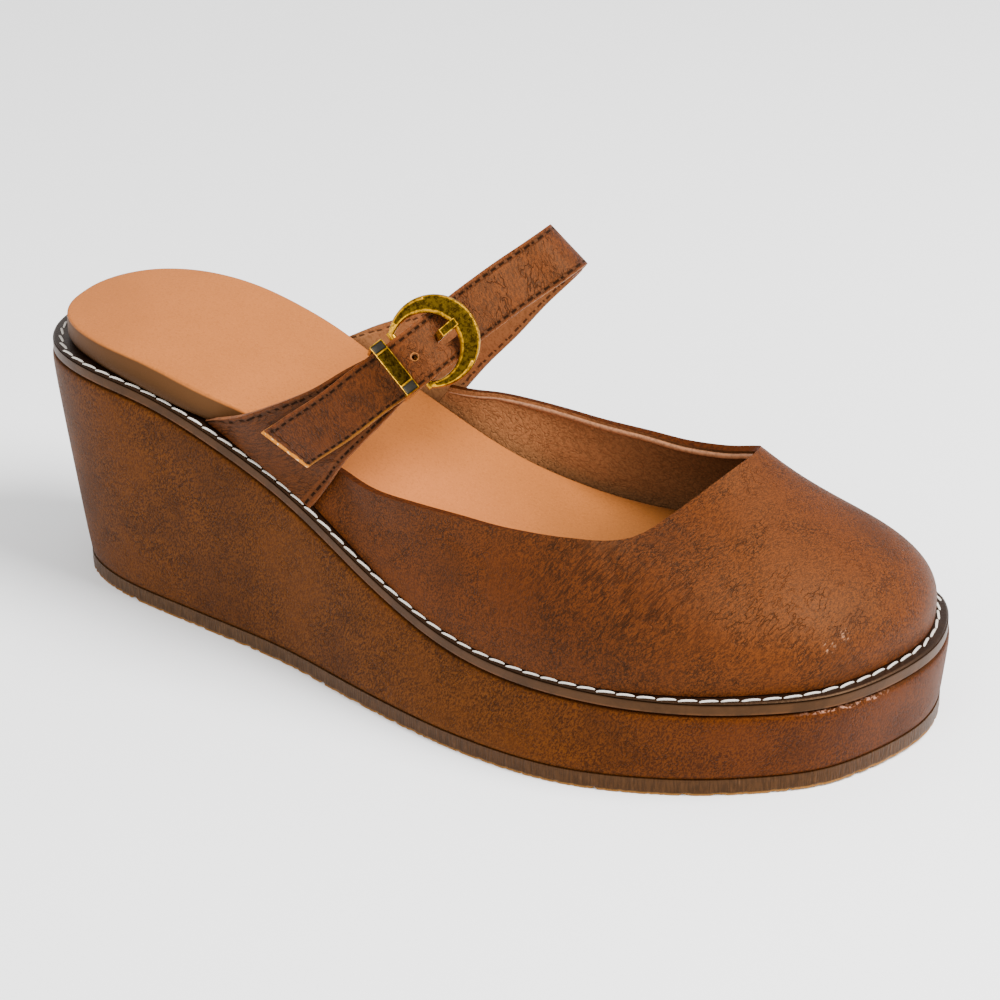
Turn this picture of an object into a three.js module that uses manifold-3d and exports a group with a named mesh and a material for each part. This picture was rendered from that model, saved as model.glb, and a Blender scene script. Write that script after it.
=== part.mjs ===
// A right-foot wedge clog: leather-covered wedge on a thin rubber outsole, stitched welt,
// leather footbed, closed-toe vamp and a buckled instep strap on two quarter-shaped bases.
// Millimetres. X runs from heel to toe, Y to the medial side, Z up from the floor.
import * as THREE from 'three';
import Module from 'manifold-3d';
import { mergeVertices } from 'three/addons/utils/BufferGeometryUtils.js';

const wasm = await Module();
wasm.setup();

// Sole sizes
const LENGTH = 256.6;
const HEEL_WIDTH = 66;
const WAIST_WIDTH = 68;
const BALL_WIDTH = 97;
const HEEL_HEIGHT = 66.4;
const FORE_HEIGHT = 22.8;
const OUTSOLE = 3.6;
const TOE_SPRING = 1;
const GROUND_TAPER = 5.5;
const WRAP_ROUND = 1.4;
const MIDSOLE = 2.7;
const MIDSOLE_STEP = 0.5;
const WELT = 1.3;
const WELT_WIDTH = 10;
const FOOTBED_HEEL = 6.4;
const FOOTBED_WAIST = 7.2;
const FOOTBED_ROUND = 0.9;

// Upper sizes
const WELT_SHOW = 3.4;
const VAMP_SHOW = 4.6;
const VAMP_WALL = 2;
const VAMP_RISE = 40;
const TOE_BULGE = 4;
const BASE_WALL = 1.8;
const STRAP_WALL = 1.8;
const STRAP_WIDTH = 14;
const INSTEP_RISE = 80;

// Buckle sizes
const BAR_RADIUS = 1.1;
const LOOP_WALL = 1;
const RING_RADIUS = 12.4;
const RING_REACH = 8;
const RING_HOLE_RADIUS = 9.1;
const RING_HOLE_REACH = 5.2;
const RING_THICK = 2.3;
const PRONG_WIDTH = 2.2;
const PRONG_THICK = 1.4;
const PRONG_HOLE = 10.4;
const HOLE_RADIUS = 1.9;
const HOLE_LENGTH = 2.6;
const SPARE_HOLE_RADIUS = 1.1;
const HOLE_PITCH = 12.5;
const KEEPER_WIDTH = 4;
const KEEPER_WALL = 1.2;
const KEEPER_PLACE = 5.2;

// Touching pieces keep this gap
const GAP = 0.3;

// How finely the curved pieces are cut
const OUTLINE_STEPS = 96;
const VAMP_STEPS = 72;
const VAMP_RINGS = 10;

const lerp = THREE.MathUtils.lerp;
const vec = (x, y, z) => new THREE.Vector3(x, y, z);

// Plan of the platform's top edge. Each row gives its place along the length, the width it
// follows, the lateral and medial reach as shares of that width, and how far the ground
// outline steps in below it on each side, as shares of GROUND_TAPER.
const PLAN = [
  { along: 0.000, of: HEEL_WIDTH, lateral: -0.015, medial: -0.015, inLateral: 1.00, inMedial: 1.00 },
  { along: 0.014, of: HEEL_WIDTH, lateral: -0.235, medial: 0.200, inLateral: 1.25, inMedial: 0.95 },
  { along: 0.055, of: HEEL_WIDTH, lateral: -0.405, medial: 0.370, inLateral: 1.20, inMedial: 0.90 },
  { along: 0.125, of: HEEL_WIDTH, lateral: -0.500, medial: 0.465, inLateral: 1.00, inMedial: 0.80 },
  { along: 0.235, of: WAIST_WIDTH, lateral: -0.490, medial: 0.480, inLateral: 0.30, inMedial: 0.50 },
  { along: 0.360, of: WAIST_WIDTH, lateral: -0.515, medial: 0.480, inLateral: -0.20, inMedial: 0.30 },
  { along: 0.485, of: BALL_WIDTH, lateral: -0.420, medial: 0.367, inLateral: -0.65, inMedial: 0.10 },
  { along: 0.603, of: BALL_WIDTH, lateral: -0.472, medial: 0.433, inLateral: -0.80, inMedial: 0.10 },
  { along: 0.713, of: BALL_WIDTH, lateral: -0.489, medial: 0.489, inLateral: -0.55, inMedial: 0.20 },
  { along: 0.811, of: BALL_WIDTH, lateral: -0.448, medial: 0.511, inLateral: 0.15, inMedial: 0.20 },
  { along: 0.897, of: BALL_WIDTH, lateral: -0.338, medial: 0.486, inLateral: 0.55, inMedial: 0.25 },
  { along: 0.967, of: BALL_WIDTH, lateral: -0.160, medial: 0.408, inLateral: 0.65, inMedial: 0.25 },
  { along: 1.000, of: BALL_WIDTH, lateral: 0.155, medial: 0.155, inLateral: 0.45, inMedial: 0.45 },
];

// Side profile of the platform's top: 1 at the heel seat, 0 at the tread
const PROFILE = [
  { along: 0.000, rise: 0.990 },
  { along: 0.060, rise: 1.000 },
  { along: 0.120, rise: 0.990 },
  { along: 0.180, rise: 0.945 },
  { along: 0.235, rise: 0.855 },
  { along: 0.294, rise: 0.735 },
  { along: 0.353, rise: 0.598 },
  { along: 0.412, rise: 0.440 },
  { along: 0.470, rise: 0.275 },
  { along: 0.530, rise: 0.130 },
  { along: 0.588, rise: 0.038 },
  { along: 0.647, rise: 0.000 },
  { along: 0.720, rise: 0.000 },
  { along: 0.850, rise: 0.020 },
  { along: 1.000, rise: 0.035 },
];

// Sections of the vamp, from the lateral back edge round the toe to the medial back edge.
// around counts rows of PLAN, lateral side first; tuck slides the lower edge inwards where
// a strap base laps over it. The topline stands at along, side and rise, as shares of the
// length, the ball width and VAMP_RISE. bulge is a share of TOE_BULGE; low, reach and drop
// shape the section between its lower edge and the topline.
const VAMP = [
  { around: 5.22, tuck: 1, along: 0.410, side: -0.303, rise: 0.35, bulge: 0.00, low: 0.35, reach: 0.10, drop: 0.30 },
  { around: 5.55, tuck: 1, along: 0.434, side: -0.320, rise: 0.43, bulge: 0.10, low: 0.35, reach: 0.10, drop: 0.30 },
  { around: 5.90, tuck: 0.4, along: 0.465, side: -0.354, rise: 0.53, bulge: 0.30, low: 0.35, reach: 0.10, drop: 0.30 },
  { around: 6.35, tuck: 0, along: 0.520, side: -0.376, rise: 0.66, bulge: 0.40, low: 0.35, reach: 0.12, drop: 0.30 },
  { around: 6.80, tuck: 0, along: 0.575, side: -0.371, rise: 0.76, bulge: 0.50, low: 0.38, reach: 0.16, drop: 0.30 },
  { around: 7.30, tuck: 0, along: 0.627, side: -0.356, rise: 0.79, bulge: 0.60, low: 0.42, reach: 0.22, drop: 0.30 },
  { around: 8.00, tuck: 0, along: 0.682, side: -0.325, rise: 0.78, bulge: 0.75, low: 0.47, reach: 0.28, drop: 0.28 },
  { around: 8.80, tuck: 0, along: 0.721, side: -0.273, rise: 0.755, bulge: 0.85, low: 0.52, reach: 0.35, drop: 0.22 },
  { around: 9.60, tuck: 0, along: 0.744, side: -0.206, rise: 0.76, bulge: 0.90, low: 0.56, reach: 0.40, drop: 0.15 },
  { around: 10.40, tuck: 0, along: 0.760, side: -0.103, rise: 0.825, bulge: 1.05, low: 0.50, reach: 0.44, drop: 0.16 },
  { around: 11.20, tuck: 0, along: 0.778, side: 0.000, rise: 0.93, bulge: 1.25, low: 0.44, reach: 0.45, drop: 0.22 },
  { around: 12.00, tuck: 0, along: 0.789, side: 0.093, rise: 0.995, bulge: 1.45, low: 0.38, reach: 0.46, drop: 0.28 },
  { around: 12.80, tuck: 0, along: 0.792, side: 0.165, rise: 1.010, bulge: 1.55, low: 0.36, reach: 0.46, drop: 0.32 },
  { around: 13.60, tuck: 0, along: 0.787, side: 0.232, rise: 0.99, bulge: 1.50, low: 0.35, reach: 0.44, drop: 0.35 },
  { around: 14.40, tuck: 0, along: 0.768, side: 0.294, rise: 0.90, bulge: 1.30, low: 0.38, reach: 0.38, drop: 0.34 },
  { around: 15.20, tuck: 0, along: 0.731, side: 0.335, rise: 0.80, bulge: 1.05, low: 0.42, reach: 0.31, drop: 0.31 },
  { around: 16.00, tuck: 0, along: 0.682, side: 0.361, rise: 0.735, bulge: 0.80, low: 0.45, reach: 0.25, drop: 0.28 },
  { around: 16.70, tuck: 0, along: 0.627, side: 0.377, rise: 0.70, bulge: 0.50, low: 0.42, reach: 0.20, drop: 0.30 },
  { around: 17.20, tuck: 0, along: 0.575, side: 0.381, rise: 0.64, bulge: 0.40, low: 0.38, reach: 0.15, drop: 0.30 },
  { around: 17.70, tuck: 0, along: 0.520, side: 0.378, rise: 0.55, bulge: 0.35, low: 0.35, reach: 0.12, drop: 0.30 },
  { around: 18.15, tuck: 0.4, along: 0.462, side: 0.346, rise: 0.43, bulge: 0.25, low: 0.35, reach: 0.10, drop: 0.30 },
  { around: 18.48, tuck: 1, along: 0.432, side: 0.312, rise: 0.345, bulge: 0.10, low: 0.35, reach: 0.10, drop: 0.30 },
  { around: 18.78, tuck: 1, along: 0.408, side: 0.294, rise: 0.29, bulge: 0.00, low: 0.35, reach: 0.10, drop: 0.30 },
];

// The strap's route over the instep, from the lateral welt to the medial welt. side is a
// share of BALL_WIDTH, rise of INSTEP_RISE above the welt there; tilt is how steeply the
// strap's width slopes down towards the toe, in degrees; half is half the width of the
// bases there, in strap widths.
const ROUTE = [
  { along: 0.325, side: -0.300, rise: 0.000, tilt: 22, half: 1.40 },
  { along: 0.360, side: -0.318, rise: 0.110, tilt: 23, half: 1.10 },
  { along: 0.394, side: -0.323, rise: 0.245, tilt: 30, half: 0.84 },
  { along: 0.427, side: -0.315, rise: 0.380, tilt: 35, half: 0.68 },
  { along: 0.455, side: -0.296, rise: 0.508, tilt: 39, half: 0.59 },
  { along: 0.474, side: -0.265, rise: 0.592, tilt: 42, half: 0.50 },
  { along: 0.492, side: -0.221, rise: 0.669, tilt: 43, half: 0.49 },
  { along: 0.517, side: -0.068, rise: 0.794, tilt: 44, half: 0.51 },
  { along: 0.540, side: 0.073, rise: 0.893, tilt: 43, half: 0.51 },
  { along: 0.554, side: 0.180, rise: 0.940, tilt: 41, half: 0.51 },
  { along: 0.552, side: 0.245, rise: 0.935, tilt: 38, half: 0.52 },
  { along: 0.531, side: 0.293, rise: 0.850, tilt: 32, half: 0.54 },
  { along: 0.490, side: 0.309, rise: 0.671, tilt: 27, half: 0.60 },
  { along: 0.445, side: 0.314, rise: 0.466, tilt: 22, half: 0.75 },
  { along: 0.400, side: 0.315, rise: 0.279, tilt: 19, half: 0.94 },
  { along: 0.362, side: 0.308, rise: 0.129, tilt: 21, half: 1.15 },
  { along: 0.327, side: 0.285, rise: 0.000, tilt: 22, half: 1.35 },
];
const BAR_ROW = 6;
const STRAP_FREE_ROW = 1.25;
const STRAP_END_ROW = 12.6;
const MEDIAL_BASE_END_ROW = 9.2;

// Curve through the rows of a table, one coordinate for each named column
function tableCurve(rows, columns, closed = false) {
  const points = rows.map((row) => vec(...columns.map((column) => row[column])));
  return new THREE.CatmullRomCurve3(points, closed, 'catmullrom', 0.5);
}

// A value from a table whose first column grows steadily, by smooth interpolation
function lookUp(rows, column, key, at) {
  const last = rows.length - 1;
  let place = rows.findIndex((row) => row[key] > at) - 1;
  if (at >= rows[last][key]) place = last - 1;
  place = Math.max(0, place);
  const from = rows[place];
  const to = rows[place + 1];
  const before = rows[Math.max(0, place - 1)];
  const after = rows[Math.min(last, place + 2)];
  const span = to[key] - from[key];
  const share = THREE.MathUtils.clamp((at - from[key]) / span, 0, 1);
  const slopeFrom = (to[column] - before[column]) / (to[key] - before[key]) * span;
  const slopeTo = (after[column] - from[column]) / (after[key] - from[key]) * span;
  const s2 = share * share;
  const s3 = s2 * share;
  return (2 * s3 - 3 * s2 + 1) * from[column] + (s3 - 2 * s2 + share) * slopeFrom
    + (3 * s2 - 2 * s3) * to[column] + (s3 - s2) * slopeTo;
}

// Sole surfaces
function platformTop(x) {
  return lerp(FORE_HEIGHT, HEEL_HEIGHT, lookUp(PROFILE, 'rise', 'along', x / LENGTH));
}
const midsoleBottom = (x) => platformTop(x) + GAP;
const midsoleTop = (x) => midsoleBottom(x) + MIDSOLE;
const weltBottom = (x) => midsoleTop(x) + GAP;
const weltTop = (x) => weltBottom(x) + WELT;
const seat = (x) => weltTop(x) + GAP;

function toeLift(x) {
  const start = 0.84 * LENGTH;
  const share = Math.max(0, x - start) / (LENGTH - start);
  return TOE_SPRING * share * share;
}

// The plan outline as a closed curve: lateral rows from the heel, then medial rows back
function planCurve() {
  const point = (row, side, step) => ({
    x: row.along * LENGTH,
    y: row[side] * row.of,
    step: row[step] * GROUND_TAPER,
  });
  const lateral = PLAN.map((row) => point(row, 'lateral', 'inLateral'));
  const medial = PLAN.slice(1, -1).map((row) => point(row, 'medial', 'inMedial'));
  return tableCurve([...lateral, ...medial.reverse()], ['x', 'y', 'step'], true);
}
const PLAN_CURVE = planCurve();
const PLAN_ROWS = 2 * (PLAN.length - 1);

// A point of the outline at a place counted in plan rows, moved in by inset, or by a function
// of the place, and by a share of the step down to the ground outline
function planPoint(place, inset = 0, ground = 0) {
  const at = (shift) => PLAN_CURVE.getPoint((((place + shift) / PLAN_ROWS) % 1 + 1) % 1);
  const here = at(0);
  const ahead = at(0.02);
  const behind = at(-0.02);
  const inward = vec(-(ahead.y - behind.y), ahead.x - behind.x, 0).normalize();
  const move = inset + ground * here.z;
  return { x: here.x + inward.x * move, y: here.y + inward.y * move, inward };
}

function planRing(inset, heightAt, ground = 0) {
  return Array.from({ length: OUTLINE_STEPS }, (_, i) => {
    const place = i * PLAN_ROWS / OUTLINE_STEPS;
    const by = typeof inset === 'function' ? inset(place) : inset;
    const p = planPoint(place, by, ground);
    return vec(p.x, p.y, heightAt(p.x));
  });
}

// A point of the outline on one side at a given x
function sidePoint(x, side, inset) {
  let low = 0;
  let high = PLAN_ROWS / 2;
  for (let i = 0; i < 40; i += 1) {
    const middle = (low + high) / 2;
    const place = side < 0 ? middle : PLAN_ROWS - middle;
    if (planPoint(place, inset).x < x) low = middle;
    else high = middle;
  }
  return planPoint(side < 0 ? low : PLAN_ROWS - low, inset);
}

// Closed meshes from lists of points and faces
function closedGeometry(points, faces) {
  let volume = 0;
  for (const [a, b, c] of faces) {
    volume += points[a].dot(points[b].clone().cross(points[c]));
  }
  const geometry = new THREE.BufferGeometry();
  geometry.setAttribute('position', new THREE.Float32BufferAttribute(points.flatMap((p) => p.toArray()), 3));
  geometry.setIndex(faces.flatMap(([a, b, c]) => (volume < 0 ? [a, c, b] : [a, b, c])));
  geometry.computeVertexNormals();
  return geometry;
}

// Rings of equal count joined into one body. The first and last rings are closed by strips
// from side to side, or joined to each other.
function ringSolid(rings, closed = false) {
  const count = rings[0].length;
  const faces = [];
  const links = closed ? rings.length : rings.length - 1;
  for (let r = 0; r < links; r += 1) {
    const here = r * count;
    const next = ((r + 1) % rings.length) * count;
    for (let i = 0; i < count; i += 1) {
      const j = (i + 1) % count;
      faces.push([here + i, here + j, next + j], [here + i, next + j, next + i]);
    }
  }
  if (!closed) {
    const top = (rings.length - 1) * count;
    for (let i = 0; i < count / 2; i += 1) {
      const a = i;
      const b = i + 1;
      const c = count - i - 1;
      const d = (count - i) % count;
      if (a !== d) {
        faces.push([a, d, b], [top + a, top + b, top + d]);
      }
      if (b !== c) {
        faces.push([b, d, c], [top + b, top + c, top + d]);
      }
    }
  }
  return closedGeometry(rings.flat(), faces);
}

// A sheet with thickness, between an outer and an inner grid of points
function sheetSolid(outer, inner) {
  const rows = outer.length;
  const columns = outer[0].length;
  const layer = rows * columns;
  const at = (r, c, side) => side * layer + r * columns + c;
  const faces = [];
  const quad = (a, b, c, d) => faces.push([a, b, c], [a, c, d]);
  for (let r = 0; r < rows - 1; r += 1) {
    for (let c = 0; c < columns - 1; c += 1) {
      quad(at(r, c, 0), at(r, c + 1, 0), at(r + 1, c + 1, 0), at(r + 1, c, 0));
      quad(at(r, c, 1), at(r + 1, c, 1), at(r + 1, c + 1, 1), at(r, c + 1, 1));
    }
  }
  for (let c = 0; c < columns - 1; c += 1) {
    quad(at(0, c, 0), at(0, c, 1), at(0, c + 1, 1), at(0, c + 1, 0));
    quad(at(rows - 1, c, 0), at(rows - 1, c + 1, 0), at(rows - 1, c + 1, 1), at(rows - 1, c, 1));
  }
  for (let r = 0; r < rows - 1; r += 1) {
    quad(at(r, 0, 0), at(r + 1, 0, 0), at(r + 1, 0, 1), at(r, 0, 1));
    quad(at(r, columns - 1, 0), at(r, columns - 1, 1), at(r + 1, columns - 1, 1), at(r + 1, columns - 1, 0));
  }
  return closedGeometry([...outer.flat(), ...inner.flat()], faces);
}

// Joins and cuts
function toManifold(geometry) {
  const bare = geometry.clone();
  bare.deleteAttribute('normal');
  bare.deleteAttribute('uv');
  const merged = mergeVertices(bare, 1e-4);
  return new wasm.Manifold(new wasm.Mesh({
    numProp: 3,
    vertProperties: new Float32Array(merged.attributes.position.array),
    triVerts: new Uint32Array(merged.index.array),
  }));
}

function fromManifold(body) {
  const mesh = body.getMesh();
  const geometry = new THREE.BufferGeometry();
  geometry.setAttribute('position', new THREE.BufferAttribute(mesh.vertProperties, 3));
  geometry.setIndex(new THREE.BufferAttribute(mesh.triVerts, 1));
  geometry.computeVertexNormals();
  return geometry;
}

const joined = (...parts) => fromManifold(parts.map(toManifold).reduce((a, b) => a.add(b)));
const cut = (part, ...tools) => fromManifold(tools.map(toManifold).reduce((a, b) => a.subtract(b), toManifold(part)));

// Sole pieces
function outsole() {
  const floor = (x) => toeLift(x);
  const top = (x) => toeLift(x) + OUTSOLE;
  return ringSolid([planRing(0, floor, 1), planRing(0, top, 1)]);
}

function wedge() {
  const bottom = (x) => toeLift(x) + OUTSOLE + GAP;
  const between = (share) => (x) => lerp(bottom(x) + WRAP_ROUND, platformTop(x) - WRAP_ROUND, share);
  return ringSolid([
    planRing(WRAP_ROUND, bottom, 1),
    planRing(0.3 * WRAP_ROUND, (x) => bottom(x) + 0.4 * WRAP_ROUND, 1),
    planRing(0, between(0), 0.97),
    planRing(0, between(0.35), 0.62),
    planRing(0, between(0.7), 0.27),
    planRing(0, between(1), 0),
    planRing(0.3 * WRAP_ROUND, (x) => platformTop(x) - 0.3 * WRAP_ROUND),
    planRing(WRAP_ROUND, platformTop),
  ]);
}

function midsoleBand() {
  return ringSolid([
    planRing(MIDSOLE_STEP, midsoleBottom),
    planRing(MIDSOLE_STEP, midsoleTop),
    planRing(WELT_WIDTH + GAP, midsoleTop),
    planRing(WELT_WIDTH + GAP, weltTop),
  ]);
}

function welt() {
  const edge = MIDSOLE_STEP + 0.2;
  return ringSolid([
    planRing(edge, weltBottom),
    planRing(edge, (x) => weltTop(x) - 0.35 * WELT),
    planRing(edge + 0.35 * WELT, weltTop),
    planRing(WELT_WIDTH, weltTop),
    planRing(WELT_WIDTH, weltBottom),
  ], true);
}

// How far inside the platform's edge each upper piece meets the welt
const BASE_INNER = WELT_SHOW + BASE_WALL;
const VAMP_TUCKED = BASE_INNER + 2 * GAP;
const FOOTBED_HEEL_IN = BASE_INNER + 4 * GAP;
const FOOTBED_TUCKED_IN = VAMP_TUCKED + VAMP_WALL + 4 * GAP;
const FOOTBED_FORE_IN = VAMP_SHOW + VAMP_WALL + 3 * GAP;

function footbedInset(place) {
  const fromHeel = Math.min(place, PLAN_ROWS - place);
  const narrow = THREE.MathUtils.smoothstep(fromHeel, 4.2, 5.1);
  const widen = THREE.MathUtils.smoothstep(fromHeel, 5.8, 6.6);
  const tucked = lerp(FOOTBED_HEEL_IN, FOOTBED_TUCKED_IN, narrow);
  return lerp(tucked, FOOTBED_FORE_IN, widen);
}

function footbedTop(x) {
  const waist = Math.exp(-(((x / LENGTH - 0.33) / 0.17) ** 2));
  return seat(x) + lerp(FOOTBED_HEEL, FOOTBED_WAIST, waist);
}

function footbed() {
  const inset = (extra) => (place) => footbedInset(place) + extra;
  return ringSolid([
    planRing(inset(0), seat),
    planRing(inset(0), (x) => footbedTop(x) - FOOTBED_ROUND),
    planRing(inset(0.3 * FOOTBED_ROUND), (x) => footbedTop(x) - 0.3 * FOOTBED_ROUND),
    planRing(inset(FOOTBED_ROUND), footbedTop),
  ]);
}

// The vamp: sections from the welt up to the topline, with a wall of even thickness
function vampSection(around) {
  const value = (column) => lookUp(VAMP, column, 'around', around);
  const inset = lerp(VAMP_SHOW, VAMP_TUCKED, value('tuck'));
  const foot = planPoint(around, inset);
  const start = vec(foot.x, foot.y, seat(foot.x));
  const x = value('along') * LENGTH;
  const end = vec(x, value('side') * BALL_WIDTH, weltTop(x) + value('rise') * VAMP_RISE);
  const height = end.z - start.z;
  const outward = foot.inward.clone().negate();
  const first = start.clone().addScaledVector(outward, value('bulge') * TOE_BULGE);
  first.z += value('low') * height;
  const second = end.clone().lerp(vec(start.x, start.y, end.z), value('reach'));
  second.z -= value('drop') * height;
  const curve = new THREE.CubicBezierCurve3(start, first, second, end);
  return { points: curve.getPoints(VAMP_RINGS), outward };
}

function offsetGrid(grid, distance) {
  return grid.map((row, r) => row.map((point, c) => {
    const left = grid[Math.max(0, r - 1)][c];
    const right = grid[Math.min(grid.length - 1, r + 1)][c];
    const below = row[Math.max(0, c - 1)];
    const above = row[Math.min(row.length - 1, c + 1)];
    const normal = right.clone().sub(left).cross(above.clone().sub(below)).normalize();
    return point.clone().addScaledVector(normal, distance);
  }));
}

function vamp() {
  const from = VAMP[0].around;
  const to = VAMP[VAMP.length - 1].around;
  const sections = Array.from({ length: VAMP_STEPS + 1 }, (_, i) => vampSection(lerp(from, to, i / VAMP_STEPS)));
  const outer = sections.map((section) => section.points);
  const inner = offsetGrid(outer, -VAMP_WALL);
  inner.forEach((row, i) => {
    row[0] = outer[i][0].clone().addScaledVector(sections[i].outward, -VAMP_WALL);
    row[0].z = seat(row[0].x);
  });
  return sheetSolid(outer, inner);
}

// The instep route as frames: where the strap runs, its width, its outward side
const ROUTE_ROWS = ROUTE.length - 1;
const ROUTE_CURVE = new THREE.CatmullRomCurve3(ROUTE.map((row) => {
  const x = row.along * LENGTH;
  return vec(x, row.side * BALL_WIDTH, seat(x) + row.rise * INSTEP_RISE);
}), false, 'catmullrom', 0.5);
const ROUTE_SHAPE = tableCurve(ROUTE.map((row) => ({ ...row, none: 0 })), ['tilt', 'half', 'none']);

function routeFrame(row) {
  const t = THREE.MathUtils.clamp(row / ROUTE_ROWS, 0, 1);
  const point = ROUTE_CURVE.getPoint(t);
  const forward = ROUTE_CURVE.getTangent(t);
  const shape = ROUTE_SHAPE.getPoint(t);
  const tilt = THREE.MathUtils.degToRad(shape.x);
  const across = vec(Math.cos(tilt), 0, -Math.sin(tilt));
  const lean = across.dot(forward);
  const out = across.clone().cross(forward).normalize();
  const strapHalf = STRAP_WIDTH / 2 / Math.sqrt(1 - lean * lean);
  return { point, forward, across, out, half: shape.y * STRAP_WIDTH, strapHalf };
}

const place = (frame, q, n) => frame.point.clone().addScaledVector(frame.across, q).addScaledVector(frame.out, n);

// A band of leather between two rows of the route; lift is how far its inner face stands
// off the route
function bandRows(from, to, steps, halfWidth, wall, lift = () => 0, columns = 6) {
  const rows = { outer: [], inner: [] };
  for (let i = 0; i <= steps; i += 1) {
    const row = lerp(from, to, i / steps);
    const frame = routeFrame(row);
    const half = halfWidth(frame);
    const spread = Array.from({ length: columns + 1 }, (_, c) => lerp(-half, half, c / columns));
    rows.outer.push(spread.map((q) => place(frame, q, lift(row) + wall)));
    rows.inner.push(spread.map((q) => place(frame, q, lift(row))));
  }
  return rows;
}

// The lower edge of a strap base, along the welt
function footRow(side, columns = 6) {
  const row = side < 0 ? 0 : ROUTE_ROWS;
  const frame = routeFrame(row);
  const reach = frame.half * Math.cos(THREE.MathUtils.degToRad(ROUTE[row].tilt));
  const at = (c, inset) => {
    const p = sidePoint(frame.point.x + lerp(-reach, reach, c / columns), side, inset);
    return vec(p.x, p.y, seat(p.x));
  };
  const list = (inset) => Array.from({ length: columns + 1 }, (_, c) => at(c, inset));
  return { outer: list(WELT_SHOW), inner: list(BASE_INNER) };
}

// The lateral base ends in a loop round the buckle's bar and a short flap on the inside
const LOOP_INNER = BAR_RADIUS + GAP;
const LOOP_OUTER = LOOP_INNER + LOOP_WALL;
const BAR_OFFSET = BASE_WALL - LOOP_OUTER;

function barFrame() {
  const frame = routeFrame(BAR_ROW);
  frame.across.addScaledVector(frame.forward, -frame.across.dot(frame.forward)).normalize();
  frame.bar = place(frame, 0, BAR_OFFSET);
  return frame;
}

function lateralBase() {
  const skive = (row) => (BASE_WALL - LOOP_WALL) * THREE.MathUtils.smoothstep(row, BAR_ROW - 1.2, BAR_ROW - 0.4);
  const rows = bandRows(0.9, BAR_ROW, 16, (frame) => frame.half, BASE_WALL);
  rows.inner.forEach((points, i) => {
    const row = lerp(0.9, BAR_ROW, i / 16);
    points.forEach((p) => p.addScaledVector(routeFrame(row).out, skive(row)));
  });
  const foot = footRow(-1);
  rows.outer.unshift(foot.outer);
  rows.inner.unshift(foot.inner);
  const frame = barFrame();
  const columns = rows.outer[0].length - 1;
  const arc = 7;
  for (let i = 1; i <= arc; i += 1) {
    const angle = Math.PI * i / arc;
    const around = (radius) => Array.from({ length: columns + 1 }, (_, c) => frame.bar.clone()
      .addScaledVector(frame.across, lerp(-frame.half, frame.half, c / columns))
      .addScaledVector(frame.forward, Math.sin(angle) * radius)
      .addScaledVector(frame.out, Math.cos(angle) * radius));
    rows.outer.push(around(LOOP_OUTER));
    rows.inner.push(around(LOOP_INNER));
  }
  const flap = bandRows(BAR_ROW - 0.35, BAR_ROW - 1.8, 4, (f) => Math.min(f.half, frame.half), LOOP_WALL);
  for (let i = 0; i <= 4; i += 1) {
    const lift = routeFrame(lerp(BAR_ROW - 0.35, BAR_ROW - 1.8, i / 4));
    const depth = lerp(BASE_WALL - 2 * LOOP_OUTER, -LOOP_WALL - GAP, Math.min(1, (i + 1) / 3));
    rows.outer.push(flap.inner[i].map((p) => p.clone().addScaledVector(lift.out, depth)));
    rows.inner.push(flap.inner[i].map((p) => p.clone().addScaledVector(lift.out, depth + LOOP_WALL)));
  }
  const back = LOOP_OUTER + 2 * GAP;
  const slot = new THREE.BoxGeometry(back + 2 * LOOP_OUTER, PRONG_WIDTH + 4 * GAP, 2 * LOOP_OUTER + BASE_WALL);
  return cut(sheetSolid(rows.outer, rows.inner), inFrame(slot, frame, LOOP_OUTER - back / 2, 0, BAR_OFFSET));
}

function medialBase() {
  const rows = bandRows(MEDIAL_BASE_END_ROW, ROUTE_ROWS - 0.9, 20, (frame) => frame.half, BASE_WALL);
  const foot = footRow(1);
  rows.outer.push(foot.outer);
  rows.inner.push(foot.inner);
  return sheetSolid(rows.outer, rows.inner);
}

// The strap lies over the bases, its free end past the buckle, and sinks to the route's own
// surface between them, where it passes under the ring
const STRAP_INNER = BASE_WALL + GAP;
const STRAP_OUTER = STRAP_INNER + STRAP_WALL;

function strapLift(row) {
  const sunk = THREE.MathUtils.smoothstep(row, BAR_ROW + 0.15, BAR_ROW + 0.78);
  const risen = THREE.MathUtils.smoothstep(row, MEDIAL_BASE_END_ROW - 0.9, MEDIAL_BASE_END_ROW - 0.2);
  return STRAP_INNER * (1 - sunk + risen);
}

function instepStrap() {
  const rows = bandRows(STRAP_FREE_ROW, STRAP_END_ROW, 44, (frame) => frame.strapHalf, STRAP_WALL, strapLift, 4);
  const frame = barFrame();
  const depth = 8 * STRAP_WALL;
  const slotShape = new THREE.Shape();
  slotShape.absarc(HOLE_LENGTH / 2, 0, HOLE_RADIUS, -Math.PI / 2, Math.PI / 2);
  slotShape.absarc(-HOLE_LENGTH / 2, 0, HOLE_RADIUS, Math.PI / 2, 3 * Math.PI / 2);
  const slot = new THREE.ExtrudeGeometry(slotShape, { depth, bevelEnabled: false, curveSegments: 6 });
  slot.translate(0, 0, -depth / 2);
  const hole = new THREE.CylinderGeometry(SPARE_HOLE_RADIUS, SPARE_HOLE_RADIUS, depth, 12).rotateX(Math.PI / 2);
  return cut(
    sheetSolid(rows.outer, rows.inner),
    inFrame(slot, frame, PRONG_HOLE, 0, STRAP_OUTER),
    inFrame(hole, frame, PRONG_HOLE - HOLE_PITCH + 2 * SPARE_HOLE_RADIUS, 0, STRAP_OUTER),
  );
}

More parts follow.
